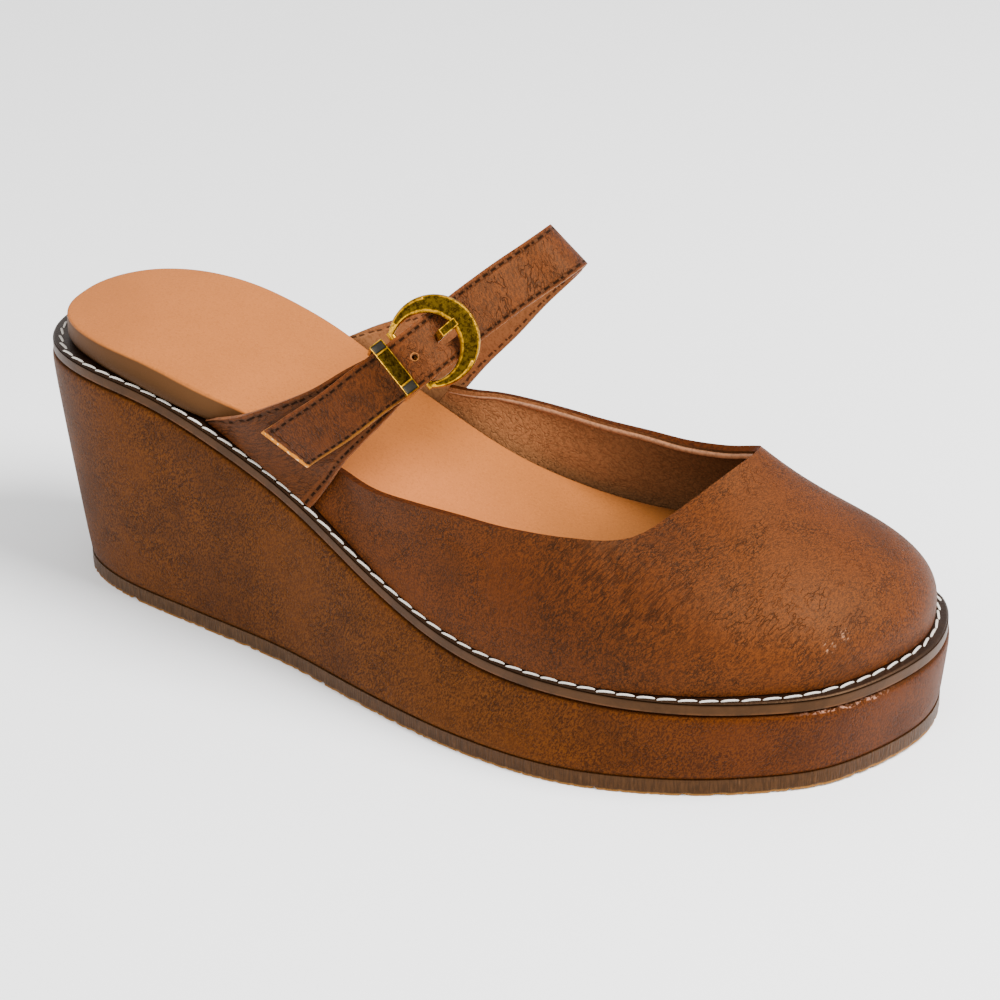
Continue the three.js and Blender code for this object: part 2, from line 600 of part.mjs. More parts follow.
// Puts a shape drawn as x forward along the strap, y across it, z outward, at a place on
// the route
function inFrame(geometry, frame, forward, across, out) {
  const matrix = new THREE.Matrix4().makeBasis(frame.forward, frame.across.clone().negate(), frame.out);
  matrix.setPosition(frame.point.clone()
    .addScaledVector(frame.forward, forward)
    .addScaledVector(frame.across, across)
    .addScaledVector(frame.out, out));
  return geometry.clone().applyMatrix4(matrix);
}

// The horseshoe ring rises from the bar to lie on the strap beyond the prong hole. Its
// section runs from the inner edge, 0, to the outer edge, 1, between half heights of 1.
const RING_SECTION = [
  [0, 0], [0.04, 0.6], [0.16, 1], [0.84, 1], [0.96, 0.6],
  [1, 0], [0.96, -0.6], [0.84, -1], [0.16, -1], [0.04, -0.6],
];
const RING_FAR = RING_REACH + RING_RADIUS;
const RING_MIDDLE = (RING_FAR + RING_HOLE_REACH + RING_HOLE_RADIUS) / 2;

// The strap's outer face seen from the bar: its height above the bar's frame at a reach
function strapTop(reach) {
  const frame = barFrame();
  let low = BAR_ROW;
  let high = BAR_ROW + 3;
  for (let i = 0; i < 30; i += 1) {
    const middle = (low + high) / 2;
    if (place(routeFrame(middle), 0, 0).sub(frame.point).dot(frame.forward) < reach) low = middle;
    else high = middle;
  }
  return place(routeFrame(low), 0, strapLift(low) + STRAP_WALL).sub(frame.point).dot(frame.out);
}

// The ring leans just enough to clear the strap from the hole's widest part to its far side
function ringTilt() {
  const from = RING_HOLE_REACH + Math.sqrt(Math.max(0, RING_HOLE_RADIUS ** 2 - (STRAP_WIDTH / 2 + GAP) ** 2));
  const reaches = [from, (from + RING_MIDDLE) / 2, RING_MIDDLE, RING_FAR];
  return Math.max(...reaches.map((reach) => {
    const over = strapTop(reach) + GAP + RING_THICK / 2 - BAR_OFFSET;
    return Math.atan2(over, reach);
  }));
}

function buckleFrame() {
  const outerAngle = Math.acos(-RING_REACH / RING_RADIUS);
  const innerAngle = Math.acos(-RING_HOLE_REACH / RING_HOLE_RADIUS);
  const steps = 40;
  const sections = Array.from({ length: steps + 1 }, (_, i) => {
    const turn = 2 * i / steps - 1;
    const onOuter = vec(RING_REACH, 0, 0)
      .add(vec(Math.cos(turn * outerAngle), Math.sin(turn * outerAngle), 0).multiplyScalar(RING_RADIUS));
    const onInner = vec(RING_HOLE_REACH, 0, 0)
      .add(vec(Math.cos(turn * innerAngle), Math.sin(turn * innerAngle), 0).multiplyScalar(RING_HOLE_RADIUS));
    return RING_SECTION.map(([width, height]) => {
      const point = onInner.clone().lerp(onOuter, width);
      point.z = height * RING_THICK / 2;
      return point;
    });
  });
  const ring = ringSolid(sections);
  ring.rotateY(-ringTilt());
  const chord = Math.sqrt(RING_RADIUS ** 2 - RING_REACH ** 2);
  const bar = new THREE.CylinderGeometry(BAR_RADIUS, BAR_RADIUS, 2 * chord - 0.4, 14);
  return inFrame(joined(ring, bar), barFrame(), 0, 0, BAR_OFFSET);
}

function buckleProng() {
  const loop = BAR_RADIUS + GAP + LOOP_WALL;
  const half = PRONG_THICK / 2;
  const leave = Math.asin(half / loop);
  const tilt = ringTilt();
  const onRing = (reach, over) => [
    reach * Math.cos(tilt) - over * Math.sin(tilt),
    reach * Math.sin(tilt) + over * Math.cos(tilt),
  ];
  const under = RING_THICK / 2 + GAP;
  const rim = RING_HOLE_REACH + RING_HOLE_RADIUS;
  const bend = PRONG_HOLE - HOLE_LENGTH / 2;
  const shape = new THREE.Shape();
  shape.absarc(0, 0, loop, leave, 2 * Math.PI - leave, false);
  shape.lineTo(bend, -half);
  shape.lineTo(...onRing(rim - 1, under));
  shape.lineTo(...onRing(RING_MIDDLE + 1, under));
  shape.lineTo(...onRing(RING_MIDDLE + 1, under + PRONG_THICK));
  shape.lineTo(...onRing(rim - 1.6, under + PRONG_THICK));
  shape.lineTo(bend - PRONG_THICK / 2, half);
  shape.closePath();
  const eye = new THREE.Path();
  eye.absarc(0, 0, BAR_RADIUS + GAP, 0, 2 * Math.PI, true);
  shape.holes.push(eye);
  const prong = new THREE.ExtrudeGeometry(shape, { depth: PRONG_WIDTH, bevelEnabled: false, curveSegments: 20 });
  prong.translate(0, 0, -PRONG_WIDTH / 2);
  prong.rotateX(Math.PI / 2);
  return inFrame(prong, barFrame(), 0, 0, BAR_OFFSET);
}

// The keeper: a metal loop round the strap and the base, just below the bar
function keeperLoop() {
  const low = BASE_WALL - 2 * LOOP_OUTER - 2 * GAP;
  const high = STRAP_OUTER + 2 * GAP;
  const half = STRAP_WIDTH / 2 + 2 * GAP;
  const outer = new THREE.BoxGeometry(KEEPER_WIDTH, 2 * (half + KEEPER_WALL), high - low + 2 * KEEPER_WALL);
  const hole = new THREE.BoxGeometry(2 * KEEPER_WIDTH, 2 * half, high - low);
  const frame = barFrame();
  return inFrame(cut(outer, hole), frame, -KEEPER_PLACE, 0, (high + low) / 2);
}

// Finishes
const finish = (color, roughness, metalness = 0) => ({ color, roughness, metalness });
const LEATHER = finish(0x8a5029, 0.55);
const STRAP_LEATHER = finish(0x7d4526, 0.55);
const WEDGE_LEATHER = finish(0x7a4526, 0.55);
const WELT_BROWN = finish(0x2c1a12, 0.5);
const BAND_BROWN = finish(0x6b4a35, 0.5);
const RUBBER = finish(0x5c4c38, 0.6);
const FOOTBED_TAN = finish(0xc99670, 0.7);
const BRASS = finish(0x8a7128, 0.35, 1);

const PIECES = [
  ['outsole', outsole, RUBBER],
  ['wedge', wedge, WEDGE_LEATHER],
  ['midsole_band', midsoleBand, BAND_BROWN],
  ['welt', welt, WELT_BROWN],
  ['footbed', footbed, FOOTBED_TAN],
  ['vamp', vamp, LEATHER],
  ['lateral_strap_base', lateralBase, STRAP_LEATHER],
  ['medial_strap_base', medialBase, STRAP_LEATHER],
  ['instep_strap', instepStrap, STRAP_LEATHER],
  ['buckle_frame', buckleFrame, BRASS],
  ['buckle_prong', buckleProng, BRASS],
  ['keeper_loop', keeperLoop, BRASS],
];

const clog = new THREE.Group();
for (const [name, make, look] of PIECES) {
  const mesh = new THREE.Mesh(make(), new THREE.MeshStandardMaterial(look));
  mesh.name = name;
  clog.add(mesh);
}

// The origin is on the floor, at the middle of the shoe's length and width
const bounds = new THREE.Box3().setFromObject(clog);
const middle = bounds.getCenter(vec(0, 0, 0));
for (const mesh of clog.children) {
  mesh.position.set(-middle.x, -middle.y, -bounds.min.z);
}

export default clog;
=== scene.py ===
import math

import bmesh
import bpy
from bpy.props import FloatProperty, FloatVectorProperty, PointerProperty
from mathutils import Matrix, Vector, noise


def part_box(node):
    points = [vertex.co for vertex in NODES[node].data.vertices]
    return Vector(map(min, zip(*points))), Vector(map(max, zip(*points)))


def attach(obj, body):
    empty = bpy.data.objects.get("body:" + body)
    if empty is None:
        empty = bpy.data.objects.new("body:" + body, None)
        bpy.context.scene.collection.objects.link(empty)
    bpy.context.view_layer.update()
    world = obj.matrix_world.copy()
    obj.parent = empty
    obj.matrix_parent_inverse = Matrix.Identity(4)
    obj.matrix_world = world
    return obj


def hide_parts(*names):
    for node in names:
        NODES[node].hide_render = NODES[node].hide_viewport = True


bl_info = {
    "name": "Wedge clog",
    "version": (1, 0, 0),
    "blender": (4, 5, 0),
    "location": "3D View > Sidebar > Clog",
    "description": "Dresses the wedge clog's solids in leather, thread, rubber and brass",
    "category": "Add Mesh",
}

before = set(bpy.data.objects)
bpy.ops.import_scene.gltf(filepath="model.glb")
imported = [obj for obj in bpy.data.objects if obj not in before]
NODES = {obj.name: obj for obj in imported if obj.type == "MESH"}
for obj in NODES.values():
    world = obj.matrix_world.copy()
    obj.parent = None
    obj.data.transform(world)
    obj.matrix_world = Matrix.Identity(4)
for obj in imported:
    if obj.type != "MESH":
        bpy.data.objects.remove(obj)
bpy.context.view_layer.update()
MM = 0.001


# Settings that a user would change

def colour(name, description, default):
    return FloatVectorProperty(
        name=name, description=description, subtype="COLOR", size=4, min=0, max=1,
        default=(*default, 1),
    )


def length(name, description, default):
    return FloatProperty(
        name=name, description=description, unit="LENGTH", min=0, precision=5, default=default * MM)


class ClogColours(bpy.types.PropertyGroup):
    """Colours of the leathers, thread, rubber and metal."""

    vamp: colour("Vamp", "Middle tone of the vamp's leather", (0.049, 0.0108, 0.0012))
    wedge: colour("Wedge", "Middle tone of the leather round the wedge", (0.0525, 0.0147, 0.0018))
    strap: colour("Strap", "Middle tone of the strap's leather", (0.047, 0.01, 0.0012))
    raw_edge: colour("Raw edge", "Cut edge of the strap leather", (0.54, 0.18, 0.010))
    # The lining's tone holds painted shade of the vamp's inside; the strap lining is made lighter from it
    lining: colour("Lining", "Inside of the vamp and the strap bases", (0.175, 0.074, 0.029))
    footbed: colour("Footbed", "Top of the footbed", (0.325, 0.100, 0.0208))
    # The footbed's side is its own tan leather darkened with painted shade
    shaded_footbed_side: colour("Footbed side", "Lower side of the footbed", (0.062, 0.0255, 0.0085))
    welt: colour("Welt", "Top of the welt", (0.009, 0.0034, 0.0016))
    band: colour("Band", "Smooth band below the welt", (0.028, 0.0112, 0.0037))
    rubber: colour("Rubber", "Side of the outsole", (0.043, 0.0200, 0.0078))
    thread: colour("Thread", "Thread of the welt's stitches", (0.62, 0.57, 0.5))
    brass: colour("Brass", "Antique brass of the buckle", (0.26, 0.145, 0.022))


class ClogSizes(bpy.types.PropertyGroup):
    """Sizes of the details that the solids leave out."""

    stitch_pitch: length("Stitch pitch", "From one welt stitch to the next", 5.2)
    stitch_length: length("Stitch length", "How much of the pitch the thread shows", 4.9)
    stitch_width: length("Stitch width", "Width of a welt stitch", 0.7)
    stitch_inset: length("Stitch inset", "From the welt's upper edge in to its stitches", 0.4)
    seam_pitch: length("Seam pitch", "From one strap stitch to the next", 2.4)
    seam_inset: length("Seam inset", "From the strap's edge in to its seam", 1.2)
    crease_depth: length("Crease depth", "Depth of the vamp's creases", 0.35)


class ClogStage(bpy.types.PropertyGroup):
    """Light and floor."""

    key: FloatProperty(
        name="Key light", description="Power of the large overhead light", unit="POWER", default=42)
    fill: FloatProperty(
        name="Fill light", description="Power of the side light", unit="POWER", default=10)
    world: FloatProperty(
        name="Surroundings", description="Strength of the white surroundings", default=1.1)
    floor: colour("Floor", "Colour of the plain floor", (0.93, 0.93, 0.93))


# Shader maths

class Value:
    """A socket in a material's node tree; arithmetic on it adds Math nodes."""

    def __init__(self, recipe, socket):
        self.recipe = recipe
        self.socket = socket

    def math(self, operation, *others):
        inputs = dict(enumerate((self, *others)))
        return self.recipe.node("ShaderNodeMath", {"operation": operation}, inputs)

    def __add__(self, other):
        return self.math("ADD", other)

    __radd__ = __add__

    def __sub__(self, other):
        return self.math("SUBTRACT", other)

    def __rsub__(self, other):
        return self.recipe.node("ShaderNodeMath", {"operation": "SUBTRACT"}, {0: other, 1: self})

    def __mul__(self, other):
        return self.math("MULTIPLY", other)

    __rmul__ = __mul__

    def __truediv__(self, other):
        return self.math("DIVIDE", other)

    def fade(self, low, high):
        """0 below low, 1 above high, smooth between; low may be the larger."""
        return self.recipe.node(
            "ShaderNodeMapRange", {"interpolation_type": "SMOOTHSTEP"}, {0: self, 1: low, 2: high})

    def band(self, middle, half, soft):
        """1 within half of the middle, fading out over soft."""
        return (self - middle).math("ABSOLUTE").fade(half + soft, half)


class Recipe:
    """A material's node tree, made node by node."""

    def __init__(self, name):
        self.material = bpy.data.materials.new(name)
        self.material.use_nodes = True
        self.tree = self.material.node_tree
        self.tree.nodes.clear()
        self.place = self.node("ShaderNodeTexCoord", output="Object")

    def node(self, kind, settings=None, inputs=None, output=0):
        made = self.tree.nodes.new(kind)
        for key, value in (settings or {}).items():
            setattr(made, key, value)
        for key, value in (inputs or {}).items():
            if isinstance(value, Value):
                self.tree.links.new(value.socket, made.inputs[key])
            else:
                made.inputs[key].default_value = value
        return Value(self, made.outputs[output])

    def attribute(self, name):
        return self.node("ShaderNodeAttribute", {"attribute_name": name}, output="Fac")

    def turned(self, turn=(0, 0, 0), stretch=(1, 1, 1), place=None):
        """A place whose noise is drawn out along turned axes."""
        rotation = [math.radians(angle) for angle in turn]
        inputs = {"Vector": place or self.place, "Rotation": rotation, "Scale": stretch}
        return self.node("ShaderNodeMapping", {"vector_type": "TEXTURE"}, inputs)

    def plane(self, x, y):
        return self.node("ShaderNodeCombineXYZ", {}, {0: x, 1: y})

    def vector(self, operation, inputs, output=0):
        return self.node("ShaderNodeVectorMath", {"operation": operation}, inputs, output)

    def toward_toe(self, start, end):
        """0 at a place along the shoe, in millimetres, and 1 from another place on."""
        return self.node("ShaderNodeSeparateXYZ", {}, {0: self.place}).fade(start * MM, end * MM)

    def away_from(self, spot):
        """Distance from a spot given in millimetres."""
        return self.vector("DISTANCE", {0: self.place, 1: [c * MM for c in spot]}, "Value")

    def cloud(self, size, detail=3, rough=0.55, place=None, distortion=0.0):
        """Soft noise from 0 to 1 with spots of about the given size in millimetres."""
        inputs = {
            "Vector": place or self.place, "Scale": 1 / (size * MM), "Detail": detail,
            "Roughness": rough, "Distortion": distortion,
        }
        return self.node("ShaderNodeTexNoise", {}, inputs)

    def lines(self, size, width, place=None):
        """Thin lines that wander and close on themselves, as fine wrinkles do."""
        return (self.cloud(size, 2, 0.5, place) - 0.5).math("ABSOLUTE").fade(width, 0)

    def warped(self, place, size, amount):
        """A place pushed about by noise, so that straight streaks wander."""
        inputs = {"Vector": place, "Scale": 1 / (size * MM), "Detail": 2.0}
        push = self.node("ShaderNodeTexNoise", {}, inputs, "Color")
        centred = self.vector("SUBTRACT", {0: push, 1: (0.5, 0.5, 0.5)})
        scaled = self.vector("SCALE", {0: centred, "Scale": amount * MM})
        return self.vector("ADD", {0: place, 1: scaled})

    def mix(self, first, second, factor, blend="MIX"):
        settings = {"data_type": "RGBA", "blend_type": blend, "clamp_factor": True}
        return self.node("ShaderNodeMix", settings, {0: factor, 6: first, 7: second}, 2)

    def tinted(self, base, tint, factor):
        """A colour multiplied by a tint where the factor is 1."""
        return self.mix(base, (*tint, 1), factor, "MULTIPLY")

    def bump(self, height, distance, strength=1.0, normal=None):
        inputs = {"Height": height, "Distance": distance * MM, "Strength": strength}
        if normal is not None:
            inputs["Normal"] = normal
        return self.node("ShaderNodeBump", {}, inputs)

    def done(self, base, roughness, normal=None, **constants):
        inputs = {"Base Color": base, "Roughness": roughness}
        if normal is not None:
            inputs["Normal"] = normal
        for key, value in constants.items():
            inputs[key.replace("_", " ")] = value
        shader = self.node("ShaderNodeBsdfPrincipled", {}, inputs)
        output = self.tree.nodes.new("ShaderNodeOutputMaterial")
        self.tree.links.new(shader.socket, output.inputs["Surface"])
        return self.material


def toned(tone, share):
    """A colour made darker or lighter."""
    return (*(min(1, c * share) for c in tone[:3]), 1)


def shifted(tone, red, green, blue):
    """A colour with each of its channels scaled by itself."""
    return (min(1, tone[0] * red), min(1, tone[1] * green), min(1, tone[2] * blue), 1)


# Finishes

# Soft warm sheens of waxed leather, of suede and of the leather round the wedge
WARM = (1.0, 0.55, 0.28, 1)
SHEEN = {"Specular_IOR_Level": 0.25, "Specular_Tint": WARM}
FAINT_SHEEN = {"Specular_IOR_Level": 0.2, "Specular_Tint": WARM}
WEDGE_SHEEN = {"Specular_IOR_Level": 0.12, "Specular_Tint": WARM}

# Middle of the strap's spare hole, in millimetres, and the pale ring's radius
SPARE_HOLE = (-0.15, -22.95, 93.0)
HOLE_RING = 0.98 * MM

# How far the welt's top sits below the solid's, with the edges that rest on it
WELT_DROP = 0.9 * MM

# How the vamp's grain is turned, in degrees
GRAIN_TURN = (33, 0, -25)


def waxed_hide(recipe, tone, streaks, patch_size, contrast=1.0, grain=None):
    """Colour, height and roughness of a waxed, mottled hide. Streaks and grain are where it is read."""
    wander = recipe.warped(streaks, 9, 2.5)
    patches = recipe.cloud(patch_size, 3, 0.55)
    strands = recipe.cloud(0.46, 3, 0.7, wander)
    specks = recipe.cloud(0.27, 2, 0.6, grain)
    lines = recipe.lines(1.5, 0.035, wander) * recipe.cloud(7, 2, 0.5).fade(0.42, 0.60)
    dark = shifted(tone, 0.42, 0.36, 0.34)
    light = shifted(tone, 1.75, 1.85, 2.00)
    base = recipe.mix(dark, light, strands.fade(0.38, 0.62))
    base = recipe.mix(base, toned(dark, 0.5), specks.fade(0.46, 0.32) * 0.65 * contrast)
    base = recipe.mix(base, light, specks.fade(0.54, 0.70) * 0.55 * contrast)
    base = recipe.mix(base, toned(dark, 0.7), lines * 0.75 * contrast)
    base = recipe.mix(base, shifted(tone, 1.45, 1.40, 1.3), patches.fade(0.45, 0.68) * 0.4)
    base = recipe.mix(base, shifted(tone, 0.60, 0.55, 0.6), patches.fade(0.50, 0.32) * 0.4)
    height = strands * 0.6 + specks * 0.4 - lines * 0.9
    rough = 0.50 + strands * 0.15
    return base, height, rough


def seam(recipe, distance, along, sizes):
    """Thread and groove masks of a row of small stitches at a distance from an edge."""
    phase = (along / sizes.seam_pitch).math("FRACT")
    thread = distance.band(sizes.seam_inset, 0.22 * MM, 0.12 * MM) * phase.band(0.5, 0.26, 0.07)
    trough = distance.band(sizes.seam_inset, 0.25 * MM, 0.5 * MM)
    return thread, trough


def strap_leather(name, tone, raw, sizes, free_end=False, fold=None):
    """Strap leather with a seam along both edges; a free end has a seam and a raw edge too."""
    recipe = Recipe(name)
    along = recipe.attribute("along")
    back = recipe.attribute("back")
    front = recipe.attribute("front")
    if free_end:
        streaks = recipe.plane(along + back * 0.35, back * 0.4)
    else:
        streaks = recipe.plane(along * 0.35, back)
    base, height, rough = waxed_hide(recipe, tone, streaks, 9, 1.4)
    frayed = recipe.cloud(1.2, 3, 0.6)
    if fold:
        folded = recipe.attribute(fold).fade(2.5 * MM, 2.2 * MM)
        base = recipe.mix(base, shifted(tone, 1.9, 1.9, 1.9), folded * 0.7)
    for distance in (back, front):
        worn = distance.fade(0.8 * MM, 0.1 * MM) * frayed.fade(0.35, 0.6)
        base = recipe.mix(base, shifted(tone, 2.4, 2.2, 1.6), worn * 0.7)
    rows = [(back, along), (front, along)]
    if free_end:
        end = recipe.attribute("end")
        rows.append((end - 1.6 * MM, back))
        inside = end.fade(1.5 * MM, 1.8 * MM)
        for distance in (back, front):
            inside = inside * distance.fade(0.6 * MM, 0.8 * MM)
        hem = (end + frayed * 1.2 * MM).fade(1.9 * MM, 1.5 * MM)
        lip = (front + frayed * 0.9 * MM).fade(1.5 * MM, 1.1 * MM) * end.fade(42 * MM, 25 * MM)
        glint = recipe.cloud(1.2, 2, 0.5).fade(0.58, 0.64) * hem
        base = recipe.mix(base, toned(raw, 0.38), lip * 0.8)
        base = recipe.mix(base, raw, hem * 0.9)
        base = recipe.mix(base, (0.80, 0.55, 0.30, 1), glint * 0.8)
        ring = recipe.away_from(SPARE_HOLE).band(HOLE_RING, 0.10 * MM, 0.14 * MM)
        base = recipe.mix(base, shifted(tone, 5.0, 8.0, 14.0), ring * 0.8)
    for distance, count in rows:
        thread, trough = seam(recipe, distance, count, sizes)
        if free_end:
            thread = thread * inside
            trough = trough * inside
        # Painted shade in the seam's groove
        base = recipe.mix(base, toned(tone, 0.4), trough * 0.45)
        base = recipe.mix(base, (0.005, 0.0012, 0.0004, 1), thread)
        height = height - trough * 0.9 - thread * 0.6
        rough = rough + thread * 0.4
    return recipe.done(base, rough, recipe.bump(height, 0.22, 0.8), **SHEEN)


def raw_edge(name, tone):
    """Cut leather fibres; on the strap they are brightest near its free end."""
    recipe = Recipe(name)
    fibres = recipe.cloud(0.5, 3, 0.7)
    patches = recipe.cloud(4, 3, 0.6)
    base = recipe.mix(toned(tone, 0.35), tone, patches.fade(0.35, 0.6))
    base = recipe.mix(base, shifted(tone, 1.35, 1.7, 2.4), fibres.fade(0.52, 0.66) * 0.7)
    base = recipe.tinted(base, (0.50, 0.46, 0.50), recipe.attribute("end").fade(3 * MM, 8 * MM))
    return recipe.done(base, 0.8, recipe.bump(fibres, 0.3, 1.0))


def suede_lining(tone):
    """The vamp's lining, with painted light at the back and painted shade in the toe."""
    recipe = Recipe("vamp lining")
    drawn = recipe.warped(recipe.turned((20, 0, 60), (1, 2, 1)), 9, 3)
    nap = recipe.cloud(0.5, 3, 0.6, drawn)
    patches = recipe.cloud(14, 3, 0.6)
    lines = recipe.lines(1.8, 0.05, drawn)
    base = recipe.mix(toned(tone, 0.75), toned(tone, 1.15), nap.fade(0.36, 0.62))
    base = recipe.mix(base, toned(tone, 1.3), patches.fade(0.5, 0.75) * 0.4)
    base = recipe.mix(base, toned(tone, 0.5), lines * 0.4)
    # Painted light at the back of the lining and painted shade deep in the toe
    base = recipe.tinted(base, (1.35, 1.25, 1.15), recipe.toward_toe(32, 0))
    base = recipe.tinted(base, (0.42, 0.38, 0.34), recipe.toward_toe(0, 75))
    return recipe.done(base, 0.85, recipe.bump(nap * 0.5 - lines * 0.8, 0.2, 0.7), **FAINT_SHEEN)


# Meshes

def clamp(share):
    return max(0, min(1, share))


def merged(name):
    """A CAD node's mesh with its loose triangles merged and paired into quads."""
    bm = bmesh.new()
    bm.from_mesh(NODES[name].data)
    bm.edges.layers.float.new("crease_edge")
    bmesh.ops.remove_doubles(bm, verts=bm.verts, dist=0.004 * MM)
    bmesh.ops.join_triangles(
        bm, faces=bm.faces, angle_face_threshold=math.radians(25),
        angle_shape_threshold=math.radians(50))
    bm.normal_update()
    return bm


def sharp(bm, angle):
    """Edges where the faces meet at more than an angle."""
    return [e for e in bm.edges if len(e.link_faces) == 2 and e.calc_face_angle(0) > math.radians(angle)]


def crease(bm, edges, amount):
    layer = bm.edges.layers.float["crease_edge"]
    for edge in edges:
        edge[layer] = amount


def zones(bm, angle):
    """Patches of faces between sharp edges, the largest first."""
    hard = set(sharp(bm, angle))
    left = set(bm.faces)
    found = []
    while left:
        patch = []
        todo = [left.pop()]
        while todo:
            face = todo.pop()
            patch.append(face)
            for edge in face.edges:
                if edge not in hard:
                    near = [f for f in edge.link_faces if f in left]
                    left.difference_update(near)
                    todo.extend(near)
        found.append(patch)
    return sorted(found, key=lambda patch: -sum(f.calc_area() for f in patch))


def refined(bm, levels):
    """The mesh after a subdivision surface, ready for finer work."""
    mesh = bpy.data.meshes.new("draft")
    bm.to_mesh(mesh)
    bm.free()
    draft = bpy.data.objects.new("draft", mesh)
    bpy.context.scene.collection.objects.link(draft)
    rounding = draft.modifiers.new("rounding", "SUBSURF")
    rounding.levels = rounding.render_levels = levels
    bpy.context.view_layer.update()
    made = bmesh.new()
    made.from_object(draft, bpy.context.evaluated_depsgraph_get())
    bpy.data.objects.remove(draft)
    made.normal_update()
    return made


def chains(edges):
    """Edges joined end to end as lists of points, the longest first; a closed one repeats its start."""
    left = set(edges)
    found = []
    while left:
        ends = {}
        for edge in left:
            for vert in edge.verts:
                ends[vert] = ends.get(vert, 0) + 1
        loose = [vert for vert, count in ends.items() if count == 1]
        start = min(loose or ends, key=lambda vert: tuple(vert.co))
        points = [start.co.copy()]
        here = start
        while True:
            edge = next((e for e in here.link_edges if e in left), None)
            if edge is None:
                break
            left.discard(edge)
            here = edge.other_vert(here)
            points.append(here.co.copy())
        found.append(points)
    return sorted(found, key=lambda points: -sum((a - b).length for a, b in zip(points, points[1:])))


def rim_of(faces):
    """Edges round a patch of faces."""
    inside = set(faces)
    return [e for f in faces for e in f.edges if sum(g in inside for g in e.link_faces) == 1]


def evenly(points, pitch):
    """Points and directions at an even pitch along a line of points."""
    total = sum((b - a).length for a, b in zip(points, points[1:]))
    count = max(1, round(total / pitch))
    step = total / count
    found = []
    gone = 0.0
    target = step / 2
    for a, b in zip(points, points[1:]):
        span = (b - a).length
        while target <= gone + span and len(found) < count:
            found.append((a.lerp(b, (target - gone) / span), (b - a).normalized()))
            target += step
        gone += span
    return found


def inward(direction, points):
    """Level direction towards the inside of a closed outline."""
    area = sum(a.x * b.y - b.x * a.y for a, b in zip(points, points[1:]))
    side = Vector((-direction.y, direction.x, 0)).normalized()
    return side if area > 0 else -side


def outline_of(bm, up=True):
    """The longest rim of the level patch on top of a sole piece, or under it."""
    sign = 1 if up else -1
    patch = [f for f in bm.faces if f.normal.z * sign > 0.78 and abs(f.normal.y) < 0.2]
    return chains(rim_of(patch))[0]


def height_line(points):
    """The height of an outline as a function of its place along the shoe."""
    line = sorted((p.x, p.z) for p in points)

    def at(x):
        if x <= line[0][0]:
            return line[0][1]
        for (x0, z0), (x1, z1) in zip(line, line[1:]):
            if x <= x1:
                return z0 + (z1 - z0) * (x - x0) / max(x1 - x0, 1e-9)
        return line[-1][1]

    return at


def seat_line():
    """The height of the welt's top along the shoe."""
    welt = merged("welt")
    seat = height_line(outline_of(welt))
    welt.free()
    return seat


def measure(bm, **functions):
    """Stores functions of a vertex's place as attributes of the mesh."""
    for name, function in functions.items():
        layer = bm.verts.layers.float.new(name)
        for vert in bm.verts:
            vert[layer] = function(vert.co)


def arc_of(points):
    """The distance along an outline of the point nearest to a place."""
    spots = []
    gone = 0.0
    for a, b in zip(points, points[1:]):
        spots.append((a, b, gone))
        gone += (b - a).length

    def at(place):
        best = None
        for a, b, start in spots:
            run = b - a
            share = clamp((place - a).dot(run) / max(run.length_squared, 1e-12))
            away = (a + run * share - place).xy.length_squared
            if best is None or away < best[0]:
                best = (away, start + share * run.length)
        return best[1]

    return at


def keep(bm, name, materials, replaces=()):
    """Makes the finished piece and ties it to the shoe."""
    for face in bm.faces:
        face.smooth = True
    for edge in bm.edges:
        edge.smooth = len(edge.link_faces) != 2 or edge.calc_face_angle(0) < math.radians(50)
    mesh = bpy.data.meshes.new(name)
    bm.to_mesh(mesh)
    bm.free()
    for material in materials:
        mesh.materials.append(material)
    piece = bpy.data.objects.new(name, mesh)
    bpy.context.scene.collection.objects.link(piece)
    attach(piece, "root")
    if replaces:
        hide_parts(*replaces)
    return piece


def paint(bm, patches):
    """The largest patch takes material 0, the next 1 and every other one 2."""
    for number, patch in enumerate(patches):
        for face in patch:
            face.material_index = min(number, 2)


def bevelled(bm, edges, size, segments=2):
    bmesh.ops.bevel(
        bm, geom=edges, offset=size * MM, segments=segments, profile=0.5, affect="EDGES",
        material=-1, clamp_overlap=True)
    bm.normal_update()


# The strap's route over the instep, as in the solids: place along the shoe's length, side as a
# share of the ball width, rise above the welt as a share of the instep, tilt, and half width
ROUTE = [
    (0.325, -0.300, 0.000, 22, 1.40), (0.360, -0.318, 0.110, 23, 1.10),
    (0.394, -0.323, 0.245, 30, 0.84), (0.427, -0.315, 0.380, 35, 0.68),
    (0.455, -0.296, 0.508, 39, 0.59), (0.474, -0.265, 0.592, 42, 0.50),
    (0.492, -0.221, 0.669, 43, 0.49), (0.517, -0.068, 0.794, 44, 0.51),
    (0.540, 0.073, 0.893, 43, 0.51), (0.554, 0.180, 0.940, 41, 0.51),
    (0.552, 0.245, 0.935, 38, 0.52), (0.531, 0.293, 0.850, 32, 0.54),
    (0.490, 0.309, 0.671, 27, 0.60), (0.445, 0.314, 0.466, 22, 0.75),
    (0.400, 0.315, 0.279, 19, 0.94), (0.362, 0.308, 0.129, 21, 1.15),
    (0.327, 0.285, 0.000, 22, 1.35),
]
SHOE_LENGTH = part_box("wedge")[1].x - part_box("wedge")[0].x
HEEL_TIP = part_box("wedge")[0].x
BALL_WIDTH = 97 * MM
SIDE_SHIFT = 0.266 * MM
INSTEP_RISE = 80 * MM
STRAP_WIDTH = 14 * MM


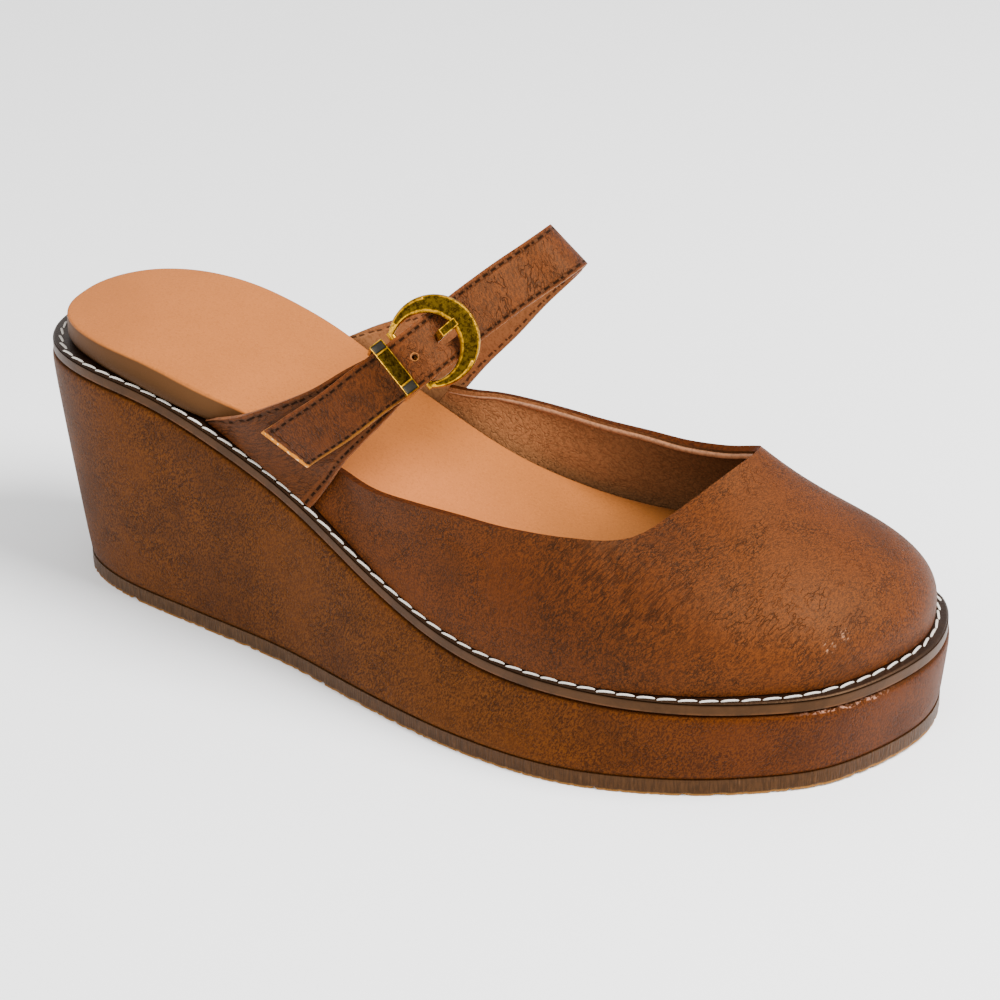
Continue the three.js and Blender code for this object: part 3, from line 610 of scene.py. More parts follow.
class Route:
    """Finds where a point lies on the strap's route: along it, across it, and its half widths."""

    # Spots worked out from one point of the route to the next
    STEPS = 16

    def __init__(self):
        seat = seat_line()
        rows = []
        for along, side, rise, tilt, half in ROUTE:
            x = HEEL_TIP + along * SHOE_LENGTH
            y = side * BALL_WIDTH + SIDE_SHIFT
            rows.append((Vector((x, y, seat(x) + rise * INSTEP_RISE)), tilt, half))
        self.spots = []
        gone = 0.0
        last = None
        for number in range((len(rows) - 1) * self.STEPS + 1):
            row = number / self.STEPS
            point, tilt, half = self.at(rows, row)
            ahead = self.at(rows, min(row + 0.02, len(rows) - 1))[0]
            behind = self.at(rows, max(row - 0.02, 0))[0]
            forward = (ahead - behind).normalized()
            lean = math.radians(tilt)
            across = Vector((math.cos(lean), 0, -math.sin(lean)))
            skew = math.sqrt(1 - across.dot(forward) ** 2)
            if last is not None:
                gone += (point - last).length * skew
            last = point
            out = across.cross(forward).normalized()
            self.spots.append((point, across, out, across.cross(out), gone, half * STRAP_WIDTH, skew))

    @staticmethod
    def at(rows, row):
        """A smooth curve through the rows, read at a row number that may be a fraction."""
        number = min(int(row), len(rows) - 2)
        share = row - number
        near = [rows[max(0, min(len(rows) - 1, number + k))] for k in (-1, 0, 1, 2)]

        def through(a, b, c, d):
            start = (c - a) * 0.5
            end = (d - b) * 0.5
            return b + start * share + (c * 3 - b * 3 - start * 2 - end) * share ** 2 \
                + (b * 2 - c * 2 + start + end) * share ** 3

        return tuple(through(*[r[k] for r in near]) for k in range(3))

    def find(self, place):
        best = None
        for point, across, out, side, gone, half, skew in self.spots:
            away = place - point
            miss = away.dot(side)
            q = away.dot(across)
            score = abs(miss) + 0.15 * abs(away.dot(out))
            if best is None or score < best[0]:
                best = (score, gone + miss, q, half, skew)
        return best[1:]

    def measures(self, strap):
        """Attribute functions for a band on the route; the strap is straight, a base widens."""
        cache = {}

        def found(place):
            key = place.to_tuple(6)
            if key not in cache:
                cache[key] = self.find(place)
            return cache[key]

        def from_edge(place, sign):
            along, across, half, skew = found(place)
            return (STRAP_WIDTH / 2 if strap else half * skew) + sign * across * skew

        return {
            "along": lambda place: found(place)[0],
            "back": lambda place: from_edge(place, 1),
            "front": lambda place: from_edge(place, -1),
        }


# Operators

class ClogOperator(bpy.types.Operator):
    """One group of the clog's pieces."""

    bl_idname = "clog.piece"
    bl_label = "Clog piece"
    bl_options = {"REGISTER", "UNDO"}

    def execute(self, context):
        scene = context.scene
        self.make(scene.clog_colours, scene.clog_sizes)
        return {"FINISHED"}


class MakeSole(ClogOperator):
    """Outsole, leather-covered wedge and the smooth band above it."""

    bl_idname = "clog.sole"
    bl_label = "Sole"

    # How much the outsole's upper edge is raised, and the reach inwards, rise and height of its teeth
    EDGE_RISE = 0.8 * MM
    TOOTH_REACH = 0.9 * MM
    TOOTH_RISE = 0.5 * MM
    TOOTH_TOP = 0.7 * MM

    # Height below which the wedge's edges belong to its underside
    WEDGE_FOOT = 12 * MM

    def make(self, colours, sizes):
        self.outsole(colours)
        self.wedge(colours)
        self.band(colours)

    def outsole(self, colours):
        bm = merged("outsole")
        rim = outline_of(bm, up=False)
        floor = height_line(rim)
        for vert in bm.verts:
            if vert.co.z - floor(vert.co.x) > 2 * MM:
                vert.co.z += self.EDGE_RISE
        side = [e for e in bm.edges if abs(e.verts[0].co.z - e.verts[1].co.z) > 2 * MM]
        bmesh.ops.subdivide_edges(bm, edges=side, cuts=1)
        crease(bm, sharp(bm, 40), 1)
        bm = refined(bm, 3)
        around = arc_of(rim)
        measure(bm, around=around, above=lambda p: p.z - floor(p.x))
        arc = bm.verts.layers.float["around"]
        above = bm.verts.layers.float["above"]
        for vert in bm.verts:
            if vert[above] < self.TOOTH_TOP and abs(vert.normal.z) < 0.95:
                narrow = noise.noise(Vector((vert[arc] * 900, 0, 1)))
                wide = noise.noise(Vector((vert[arc] * 350, 5, 1)))
                bite = max(0, narrow + wide)
                vert.co.xy -= vert.normal.xy * bite * self.TOOTH_REACH
                vert.co.z += bite * self.TOOTH_RISE
        recipe = Recipe("olive rubber")
        up = recipe.attribute("above")
        lane = recipe.plane(recipe.attribute("around"), up * 0.12)
        ribs = recipe.cloud(0.5, 3, 0.6, recipe.warped(lane, 3, 0.8))
        broad = recipe.cloud(9, 3, 0.6, lane)
        tone = colours.rubber
        base = recipe.mix(toned(tone, 0.62), toned(tone, 1.25), ribs.fade(0.38, 0.60))
        pale = ribs.fade(0.58, 0.70) * broad.fade(0.45, 0.6)
        base = recipe.mix(base, shifted(tone, 2.6, 2.9, 3.6), pale * 0.8)
        base = recipe.tinted(base, (0.66, 0.56, 0.45), recipe.toward_toe(-60, 40))
        honey = (0.24, 0.105, 0.022, 1)
        lower = (up + ribs * 0.5 * MM).fade(1.0 * MM, 0.5 * MM)
        base = recipe.mix(base, honey, lower * 0.75)
        material = recipe.done(base, 0.5, recipe.bump(ribs, 0.25, 0.8), **SHEEN)
        keep(bm, "outsole_rubber", [material], ["outsole"])

    def wedge(self, colours):
        bm = merged("wedge")
        top = height_line(outline_of(bm))
        crease(bm, sharp(bm, 50), 0.5)
        crease(bm, [e for e in sharp(bm, 50) if e.verts[0].co.z < self.WEDGE_FOOT], 1)
        bm = refined(bm, 2)
        measure(bm, below=lambda p: top(p.x) - p.z)
        recipe = Recipe("wedge leather")
        streaks = recipe.turned((0, 30, 0), (1.0, 1.0, 1.9))
        base, height, rough = waxed_hide(recipe, colours.wedge, streaks, 20, 0.8)
        below = recipe.attribute("below")
        base = recipe.tinted(base, (0.86, 0.66, 0.38), recipe.toward_toe(20, 110))
        spot = recipe.away_from((120, -14, 23)).fade(16 * MM, 6 * MM)
        worn = below.fade(1.0 * MM, 0.5 * MM) * spot * recipe.cloud(1.4, 3, 0.7).fade(0.50, 0.60)
        base = recipe.mix(base, (0.42, 0.20, 0.13, 1), worn * 0.8)
        # Painted shade along the wedge's top edge, in the groove under the band
        base = recipe.mix(base, toned(colours.wedge, 0.25), below.fade(0.9 * MM, 0) * 0.6)
        material = recipe.done(base, rough, recipe.bump(height, 0.2, 0.75), **WEDGE_SHEEN)
        keep(bm, "wedge_cover", [material], ["wedge"])

    def band(self, colours):
        bm = merged("midsole_band")
        low = height_line(outline_of(bm, up=False))
        edges = [e for e in sharp(bm, 50) if e.calc_length() < 12 * MM]
        bevelled(bm, edges, 0.35)
        crease(bm, sharp(bm, 30), 0.5)
        bm = refined(bm, 2)
        measure(bm, above=lambda p: p.z - low(p.x))
        recipe = Recipe("band leather")
        tone = colours.band
        up = recipe.attribute("above")
        cloud = recipe.cloud(6, 4, 0.6)
        fine = recipe.cloud(0.7, 3, 0.6)
        base = recipe.mix(toned(tone, 0.72), toned(tone, 1.2), cloud.fade(0.35, 0.65))
        base = recipe.mix(base, toned(tone, 1.6), fine.fade(0.55, 0.75) * 0.4)
        worn = up.fade(0.7 * MM, 0.2 * MM) * cloud.fade(0.4, 0.6)
        base = recipe.mix(base, shifted(tone, 2.2, 1.9, 1.6), worn)
        base = recipe.mix(base, toned(tone, 0.3), up.fade(2.2 * MM, 2.7 * MM) * 0.7)
        material = recipe.done(base, 0.45, recipe.bump(fine, 0.1, 0.5), **SHEEN)
        keep(bm, "edge_band", [material], ["midsole_band"])


class MakeWelt(ClogOperator):
    """The dark welt and its white stitches."""

    bl_idname = "clog.welt"
    bl_label = "Welt and stitches"

    # Round the toe and the heel the stitches lie this much further in
    TIP_INSET = 1.7 * MM

    # How deep a stitch's ends sink into the welt, and how far its middle stands out of it
    END_SINK = 0.30 * MM
    THREAD_RISE = 0.16 * MM

    def make(self, colours, sizes):
        bm = merged("welt")
        rim = outline_of(bm)
        top = height_line(rim)
        for vert in bm.verts:
            if vert.co.z > top(vert.co.x) - 0.6 * MM:
                vert.co.z -= WELT_DROP
        crease(bm, sharp(bm, 30), 0.7)
        bm = refined(bm, 2)
        recipe = Recipe("dark welt")
        tone = colours.welt
        fine = recipe.cloud(0.6, 3, 0.6)
        patches = recipe.cloud(4, 3, 0.6)
        worn = patches.fade(0.45, 0.75) * fine.fade(0.3, 0.7)
        base = recipe.mix(toned(tone, 0.7), toned(tone, 1.9), worn)
        material = recipe.done(base, 0.42, recipe.bump(fine, 0.15, 0.7), **SHEEN)
        keep(bm, "welt_strip", [material], ["welt"])
        self.stitches(colours, sizes, rim)

    def stitches(self, colours, sizes, rim):
        bm = bmesh.new()
        upright = Vector((0, 0, 1))
        for number, (place, along) in enumerate(evenly(rim, sizes.stitch_pitch)):
            side = inward(along, rim)
            tip = clamp((abs(side.x) - 0.45) / 0.35)
            spot = place + side * (sizes.stitch_inset + tip * self.TIP_INSET) - upright * WELT_DROP
            wobble = noise.noise(Vector((number * 0.7, 0, 0)))
            across = upright.cross(along).normalized()
            slant = (along + across * (0.10 + 0.05 * wobble)).normalized()
            up = slant.cross(upright.cross(slant)).normalized()
            side = up.cross(slant).normalized()
            made = bmesh.ops.create_uvsphere(bm, u_segments=6, v_segments=7, radius=1)["verts"]
            half = sizes.stitch_length / 2 * (1 + 0.06 * wobble)
            turn = Matrix((side, up, slant)).transposed()
            for vert in made:
                x, y, z = vert.co
                full = 1
                if abs(z) < 0.999:
                    full = (1 - abs(z) ** 4) ** 0.25 / max(math.sqrt(1 - z * z), 0.35)
                rise = self.THREAD_RISE - self.END_SINK * abs(z) ** 3
                vert.co = spot + turn @ Vector((
                    x * full * sizes.stitch_width / 2,
                    y * full * sizes.stitch_width * 0.36 + rise,
                    z * half,
                ))
        recipe = Recipe("white thread")
        twist = recipe.cloud(0.25, 2, 0.5)
        soil = recipe.cloud(9, 3, 0.6)
        base = recipe.mix(toned(colours.thread, 0.72), colours.thread, twist.fade(0.35, 0.6))
        base = recipe.mix(base, (0.50, 0.36, 0.24, 1), soil.fade(0.55, 0.8) * 0.35)
        material = recipe.done(base, 0.75, recipe.bump(twist, 0.1, 0.7))
        keep(bm, "welt_stitches", [material])


class MakeFootbed(ClogOperator):
    """The padded footbed with its bare tan top."""

    bl_idname = "clog.footbed"
    bl_label = "Footbed"

    # Middle of the heel in millimetres, and how far its lateral side and the foot of the wall
    # there are moved out
    HEEL_MIDDLE = (-82, 3, 0)
    SIDE_PUSH = 4.0 * MM
    WALL_PUSH = 2.2 * MM

    def make(self, colours, sizes):
        bm = merged("footbed")
        top = height_line(outline_of(bm))
        for vert in bm.verts:
            outward = (vert.co - Vector(self.HEEL_MIDDLE) * MM).xy.normalized()
            share = clamp((-54 * MM - vert.co.x) / (9 * MM)) * clamp(-0.25 - 1.3 * outward.y)
            vert.co.xy += outward * share * self.SIDE_PUSH
            low = clamp((top(vert.co.x) - vert.co.z - 1 * MM) / (3 * MM))
            vert.co.z -= low * WELT_DROP
            near = clamp((vert.co.x + 100 * MM) / (22 * MM)) * clamp((-57 * MM - vert.co.x) / (6 * MM))
            vert.co.y += low * near * self.WALL_PUSH * min(0, outward.y)
        crease(bm, sharp(bm, 60), 0.8)
        bm = refined(bm, 2)
        measure(bm, below=lambda p: top(p.x) - p.z)
        recipe = Recipe("footbed leather")
        below = recipe.attribute("below")
        patches = recipe.cloud(26, 3, 0.55)
        fine = recipe.cloud(0.7, 3, 0.6)
        specks = recipe.cloud(0.5, 2, 0.6)
        tone = colours.footbed
        base = recipe.mix(toned(tone, 0.96), toned(tone, 1.05), patches.fade(0.35, 0.65))
        base = recipe.mix(base, toned(tone, 0.80), fine.fade(0.50, 0.64) * 0.6)
        base = recipe.mix(base, toned(tone, 1.30), specks.fade(0.42, 0.32) * 0.5)
        base = recipe.mix(base, toned(tone, 0.6), specks.fade(0.66, 0.74) * 0.5)
        # Painted light: the footbed is made lighter and cooler around the waist, under the strap
        waist = recipe.away_from((0, -18, 52)).fade(40 * MM, 14 * MM)
        base = recipe.tinted(base, (1.15, 1.13, 1.22), waist)
        # Painted shade: the footbed darkens toward the toe, under the vamp
        base = recipe.tinted(base, (0.44, 0.49, 0.56), recipe.toward_toe(-8, 62))
        # The side takes the footbed's tone darkened as painted shade, deeper toward its foot
        side = colours.shaded_footbed_side
        side = recipe.mix(side, toned(side, 0.55), below.fade(1.5 * MM, 6.5 * MM))
        base = recipe.mix(base, side, below.fade(0.5 * MM, 1.1 * MM))
        material = recipe.done(base, 0.62, recipe.bump(fine, 0.08, 0.6), **FAINT_SHEEN)
        piece = keep(bm, "footbed_cover", [material], ["footbed"])


class MakeVamp(ClogOperator):
    """The closed-toe upper: waxed leather outside, lining and rolled rim inside."""

    bl_idname = "clog.vamp"
    bl_label = "Vamp"

    # Soft troughs: start, end, depth share, half width, in millimetres from the origin
    CREASES = [
        ((20, -36, 52), (38, -41, 46), 0.8, 1.6),
        ((30, -37, 53), (46, -42, 45), 0.6, 1.5),
        ((44, -35, 55), (58, -40, 46), 0.7, 1.8),
        ((58, -28, 57), (70, -36, 46), 0.5, 1.8),
        ((78, -8, 60), (92, -16, 50), 0.4, 2.2),
    ]

    # Two pale scuffs on the toe, in millimetres
    SCUFFS = [(113.2, -14.2, 38.4), (115.6, -9.3, 40.2)]

    # How far the lower edge is moved out at the sides, and how much less at the toe
    EDGE_PUSH = 2.8 * MM
    TOE_PUSH_LESS = 2.4 * MM

    # Place in millimetres, radius and depth of the hollow at the far side of the throat
    HOLLOW = (92, 22, 58)
    HOLLOW_RADIUS = 17 * MM
    HOLLOW_DEPTH = 1.9 * MM

    # How much lower the lateral top line is behind two places: where it begins, over which
    # length it grows, and how much
    TOP_DROPS = [(50 * MM, 20 * MM, 1.6 * MM), (6 * MM, 12 * MM, 1.5 * MM)]

    # Radius of the rolled rim and how far its middle lies below the top line
    RIM_RADIUS = 0.75 * MM
    RIM_DROP = 1.5 * MM

    def make(self, colours, sizes):
        bm = merged("vamp")
        patches = zones(bm, 45)
        paint(bm, patches)
        inner = set(patches[1])
        topline = [
            e for e in rim_of(patches[1])
            if any(f not in inner and f.normal.z > 0.4 for f in e.link_faces)
        ]
        line = chains(topline)[0]
        seat = seat_line()
        for vert in bm.verts:
            vert.co = self.settled(vert.co, seat)
        line = [self.settled(place, seat) for place in line]
        low = [e for e in sharp(bm, 45) if any(f.normal.z < -0.4 for f in e.link_faces)]
        crease(bm, low, 1)
        crease(bm, [e for e in sharp(bm, 45) if e not in low], 0.6)
        bm = refined(bm, 2)
        for vert in bm.verts:
            vert.co += vert.normal * self.dent(vert.co) * sizes.crease_depth
        materials = [self.leather(colours), suede_lining(colours.lining), self.edge(colours)]
        keep(bm, "vamp_leather", materials, ["vamp"])
        self.rim(colours, line)

    def settled(self, place, seat):
        """Where a point of the solid goes so that the edges lie as in the photograph."""
        x, y, z = place
        height = z - seat(x)
        outward = Vector((x - min(x, 60 * MM), y - 2 * MM)).normalized()
        lift = clamp(1 - height / (13 * MM))
        if y < 0:
            behind = -32 * MM + 0.45 * height
            share = clamp((x - behind) / (5 * MM))
        else:
            share = clamp((x + 3 * MM) / (8 * MM))
        reach = self.EDGE_PUSH - self.TOE_PUSH_LESS * max(0, outward.x)
        push = outward * lift ** 1.5 * share * reach
        away = (place - Vector(self.HOLLOW) * MM).length / self.HOLLOW_RADIUS
        drop = lift ** 2 * WELT_DROP + self.HOLLOW_DEPTH * math.exp(-away ** 2)
        outer = clamp((-12 * MM - y) / (12 * MM)) * clamp(height / (18 * MM)) ** 2
        for start, span, depth in self.TOP_DROPS:
            drop += outer * depth * clamp((start - x) / span)
        return Vector((x + push.x, y + push.y, z - drop))

    def dent(self, place):
        """Depth of the creases at a place, as a share of the crease depth."""
        total = 0.0
        for start, end, depth, width in self.CREASES:
            a = Vector(start) * MM
            run = (Vector(end) * MM) - a
            share = (place - a).dot(run) / run.length_squared
            if -0.3 < share < 1.3:
                away = (place - a - run * clamp(share)).length
                total -= depth * math.exp(-(away / (width * MM)) ** 2)
        return total

    def leather(self, colours):
        recipe = Recipe("vamp leather")
        streaks = recipe.turned(GRAIN_TURN, (1.0, 3.0, 1.0))
        grain = recipe.turned(GRAIN_TURN, (1.0, 1.7, 1.0))
        base, height, rough = waxed_hide(recipe, colours.vamp, streaks, 22, 1.6, grain)
        # Painted shade over the throat, and in the creases of the folds there, which are also bumped
        throat = recipe.away_from((62, -34, 46)).fade(42 * MM, 8 * MM)
        long_streaks = recipe.warped(recipe.turned(GRAIN_TURN, (1.0, 7.0, 1.0)), 9, 1.5)
        folds = recipe.cloud(0.75, 2, 0.5, long_streaks).fade(0.46, 0.39) * throat
        base = recipe.tinted(base, (0.50, 0.42, 0.36), folds)
        base = recipe.tinted(base, (0.80, 0.76, 0.70), throat)
        height = height - folds * 0.8
        near, far = (recipe.away_from(spot).fade(2.4 * MM, 0.6 * MM) for spot in self.SCUFFS)
        scuff = near.math("MAXIMUM", far) * recipe.cloud(0.5, 3, 0.7, streaks).fade(0.54, 0.62)
        base = recipe.mix(base, (0.40, 0.22, 0.13, 1), scuff * 0.5)
        return recipe.done(base, rough, recipe.bump(height, 0.2, 0.7), **SHEEN)

    def edge(self, colours):
        recipe = Recipe("vamp edge")
        fine = recipe.cloud(0.8, 3, 0.6)
        tone = toned(colours.vamp, 0.9)
        base = recipe.mix(toned(tone, 0.6), toned(tone, 1.3), fine.fade(0.35, 0.65))
        base = recipe.mix(base, toned(tone, 2.6), recipe.toward_toe(50, 85) * 0.7)
        return recipe.done(base, 0.8, recipe.bump(fine, 0.12, 0.6), Specular_IOR_Level=0.05)

    def rim(self, colours, line):
        """The rolled rim just inside the top line, thinner toward its ends."""
        curve = bpy.data.curves.new("rim", "CURVE")
        curve.dimensions = "3D"
        curve.bevel_depth = self.RIM_RADIUS
        curve.bevel_resolution = 3
        spline = curve.splines.new("POLY")
        spline.points.add(len(line) - 1)
        for number, (spot, place) in enumerate(zip(spline.points, line)):
            spot.co = (*(place - Vector((0, 0, self.RIM_DROP))), 1)
            spot.radius = min(1, (min(number, len(line) - 1 - number) + 1) / 6)
        draft = bpy.data.objects.new("rim_draft", curve)
        bpy.context.scene.collection.objects.link(draft)
        bpy.context.view_layer.update()
        bm = bmesh.new()
        finished = draft.evaluated_get(bpy.context.evaluated_depsgraph_get())
        bm.from_mesh(bpy.data.meshes.new_from_object(finished))
        bpy.data.objects.remove(draft)
        bmesh.ops.holes_fill(bm, edges=bm.edges, sides=20)
        recipe = Recipe("rolled rim")
        fine = recipe.cloud(0.8, 3, 0.6)
        tone = colours.lining
        base = recipe.mix(toned(tone, 0.9), shifted(tone, 1.7, 1.6, 1.6), fine.fade(0.3, 0.6))
        material = recipe.done(base, 0.6, recipe.bump(fine, 0.1, 0.6))
        keep(bm, "vamp_rim", [material])


class MakeStraps(ClogOperator):
    """The instep strap and the two bases that hold it."""

    bl_idname = "clog.straps"
    bl_label = "Straps"

    # The spare hole's edge within this radius is pulled in by a share
    HOLE_REACH = 1.4 * MM
    HOLE_PULL = 0.3

    # How far the foot of the lateral base is moved out
    BASE_PUSH = 2.0 * MM

    def make(self, colours, sizes):
        route = Route()
        tone = colours.strap
        edge = raw_edge("raw strap edge", colours.raw_edge)
        dull = raw_edge("raw base edge", shifted(colours.raw_edge, 0.35, 0.28, 0.5))
        lining = self.stitched_lining(colours, sizes)
        raw = colours.raw_edge
        strap = strap_leather("strap leather", tone, raw, sizes, free_end=True)
        base = strap_leather("base leather", shifted(tone, 0.85, 0.92, 1.2), raw, sizes, fold="front")
        self.band("instep_strap", "instep_strap_leather", [strap, lining, edge], route, True)
        self.band("lateral_strap_base", "lateral_base_leather", [base, lining, dull], route, False)
        self.band("medial_strap_base", "medial_base_leather", [base, lining, dull], route, False)

    def band(self, node, name, materials, route, strap):
        bm = merged(node)
        patches = zones(bm, 50)
        outward = sum((f.normal * f.calc_area() for f in patches[0]), Vector())
        side = 1 if node == "medial_strap_base" else -1
        if (outward.z if strap else outward.y * side) < 0:
            patches[0], patches[1] = patches[1], patches[0]
        paint(bm, patches)
        if strap:
            spot = Vector(SPARE_HOLE) * MM
            out = min(route.spots, key=lambda s: (s[0] - spot).length)[2]
            for vert in bm.verts:
                away = vert.co - spot
                away -= out * away.dot(out)
                if away.length < self.HOLE_REACH:
                    vert.co -= away * self.HOLE_PULL
        else:
            seat = seat_line()
            for vert in bm.verts:
                low = clamp(1 - (vert.co.z - seat(vert.co.x)) / (11 * MM))
                vert.co.z -= WELT_DROP * low
                if side < 0:
                    vert.co.y -= self.BASE_PUSH * low ** 1.5 * clamp((vert.co.x + 60 * MM) / (14 * MM))
        crease(bm, sharp(bm, 50), 0.8)
        bm = refined(bm, 2)
        measure(bm, **route.measures(strap))
        if strap:
            along = bm.verts.layers.float["along"]
            start = min(vert[along] for vert in bm.verts)
            measures = {vert.index: vert[along] - start for vert in bm.verts}
            end = bm.verts.layers.float.new("end")
            for vert in bm.verts:
                vert[end] = measures[vert.index]
        keep(bm, name, materials, [node])

    def stitched_lining(self, colours, sizes):
        recipe = Recipe("strap lining")
        # The strap lining lightens the lining tone, which holds the vamp's painted shade
        tone = shifted(colours.lining, 1.9, 1.8, 1.7)
        nap = recipe.cloud(0.8, 4, 0.65, recipe.warped(recipe.place, 9, 3))
        base = recipe.mix(toned(tone, 0.7), tone, nap.fade(0.36, 0.56))
        height = nap * 0.5
        along = recipe.attribute("along")
        for name in ("back", "front"):
            thread, trough = seam(recipe, recipe.attribute(name), along, sizes)
            base = recipe.mix(base, (0.05, 0.022, 0.012, 1), thread * 0.9)
            height = height - trough * 0.6
        return recipe.done(base, 0.8, recipe.bump(height, 0.2, 0.7), **FAINT_SHEEN)


class MakeBuckle(ClogOperator):
    """Horseshoe frame, prong and keeper in antique brass."""

    bl_idname = "clog.buckle"
    bl_label = "Buckle"

    # Middles of the bar and the keeper, and the foot of the prong
    BAR_MIDDLE = Vector((-2.6, -20.4, 90.3)) * MM
    KEEPER_MIDDLE = Vector((-4.2, -25.0, 88.6)) * MM
    PRONG_FOOT = Vector((-4.8, -20.3, 89.4)) * MM

    # Long directions of the keeper and the prong, and the direction that the outer faces look to
    KEEPER_LONG = Vector((0.73, -0.01, -0.69))
    PRONG_LONG = Vector((0.706, 0.391, 0.591))
    OUTWARD = Vector((0.45, -0.72, 0.50)).normalized()

    # Moves that place the pieces as in the photograph, and how much smaller they are made
    KEEPER_SHIFT = Vector((-1.05, -0.41, 0.44)) * MM
    FRAME_SHIFT = Vector((-0.55, -0.35, 0.2)) * MM
    SIZE = 0.95
    KEEPER_SHORTER = 0.07
    PRONG_SHORTER = 0.11

    # The keeper's dark end caps begin this far from its middle
    CAP_START = 5.6 * MM

    # A sunk face of the keeper whose middle lies past this distance is an end cap
    CAP_PAST = 5 * MM

    # The frame's tips stay plain up to this distance past the bar
    TIP_LENGTH = 1.6 * MM

    # The keeper's faces that lie this much deeper than its outermost one stay plain
    KEEPER_FACE_DEPTH = 3 * MM

    def make(self, colours, sizes):
        brass = self.brass(colours)
        self.part("buckle_frame", "horseshoe_frame", brass, 0.6, 0.25, 0.22)
        self.part("buckle_prong", "buckle_tongue", brass, 0.4, 0.12, 0.12)
        self.part("keeper_loop", "keeper", brass, 0.6, 0.5, 0.25)

    def part(self, node, name, brass, rim, depth, bevel):
        """A brass piece whose outer faces are sunk within a raised rim."""
        bm = merged(node)
        keeper = node == "keeper_loop"
        centre = self.KEEPER_MIDDLE if keeper else self.BAR_MIDDLE
        if keeper:
            for reach in (-self.CAP_START, self.CAP_START):
                bmesh.ops.bisect_plane(
                    bm, geom=[*bm.verts, *bm.edges, *bm.faces],
                    plane_co=centre + self.KEEPER_LONG * reach, plane_no=self.KEEPER_LONG)
        for vert in bm.verts:
            vert.co = self.settled(vert.co, node, centre)
        sunk = bm.verts.layers.float.new("sunk")
        top = max(f.calc_center_median().dot(self.OUTWARD) for f in bm.faces)
        faces = [f for f in bm.faces if f.normal.dot(self.OUTWARD) > 0.8 and self.outer(f, top, node)]
        if keeper:
            bmesh.ops.inset_individual(bm, faces=faces, thickness=rim * MM, depth=-depth * MM)
        else:
            bmesh.ops.inset_region(
                bm, faces=faces, thickness=rim * MM, depth=-depth * MM, use_even_offset=True,
                use_boundary=True)
        for face in faces:
            for vert in face.verts:
                vert[sunk] = 1
        if keeper:
            self.darken(bm, faces, centre)
        bevelled(bm, sharp(bm, 30), bevel, 2)
        keep(bm, name, [brass], [node])

    def settled(self, place, node, centre):
        """Where a point of the solid goes, a little smaller and moved."""
        if node == "buckle_prong":
            along = (place - self.PRONG_FOOT).dot(self.PRONG_LONG)
            place = place - self.PRONG_LONG * along * self.PRONG_SHORTER
        place = centre + (place - centre) * self.SIZE
        if node == "keeper_loop":
            along = (place - centre).dot(self.KEEPER_LONG)
            return place - self.KEEPER_LONG * along * self.KEEPER_SHORTER + self.KEEPER_SHIFT
        return place + self.FRAME_SHIFT

    def outer(self, face, top, node):
        """Whether a face that looks outward is one of those that are sunk."""
        middle = face.calc_center_median()
        if node == "buckle_frame":
            return (middle - self.BAR_MIDDLE).dot(self.PRONG_LONG) > self.TIP_LENGTH
        return node == "buckle_prong" or middle.dot(self.OUTWARD) > top - self.KEEPER_FACE_DEPTH

    def darken(self, bm, faces, centre):
        """Marks the keeper's end caps as darkest and the valley between them as half dark."""
        patina = bm.verts.layers.float.new("patina")
        for face in faces:
            reach = abs((face.calc_center_median() - centre).dot(self.KEEPER_LONG))
            for vert in face.verts:
                vert[patina] = 1 if reach > self.CAP_PAST else 0.5

    def brass(self, colours):
        recipe = Recipe("antique brass")
        tone = colours.brass
        sunk = recipe.attribute("sunk")
        patches = recipe.cloud(1.1, 4, 0.65)
        fine = recipe.cloud(0.3, 3, 0.6)
        deep = shifted(tone, 0.07, 0.07, 0.04)
        olive = recipe.mix(deep, shifted(tone, 0.27, 0.28, 0.09), patches.fade(0.38, 0.62))
        olive = recipe.mix(olive, shifted(tone, 0.9, 0.85, 0.4), fine.fade(0.56, 0.70) * 0.4)
        patina = recipe.attribute("patina")
        olive = recipe.tinted(olive, (0.42, 0.42, 0.55), patina.fade(0.1, 0.45))
        olive = recipe.mix(olive, (0.018, 0.018, 0.016, 1), patina.fade(0.6, 0.9) * (0.95 - fine * 0.3))
        warm = shifted(tone, 0.60, 0.55, 0.20)
        gold = recipe.mix(warm, shifted(tone, 1.75, 1.50, 0.15), patches.fade(0.38, 0.58))
        base = recipe.mix(gold, olive, sunk.fade(0.25, 0.75))
        relief = recipe.bump(patches * 0.5 + fine * 0.5, 0.08, 0.6)
        return recipe.done(base, 0.34 + sunk * 0.16, relief, Metallic=1.0)


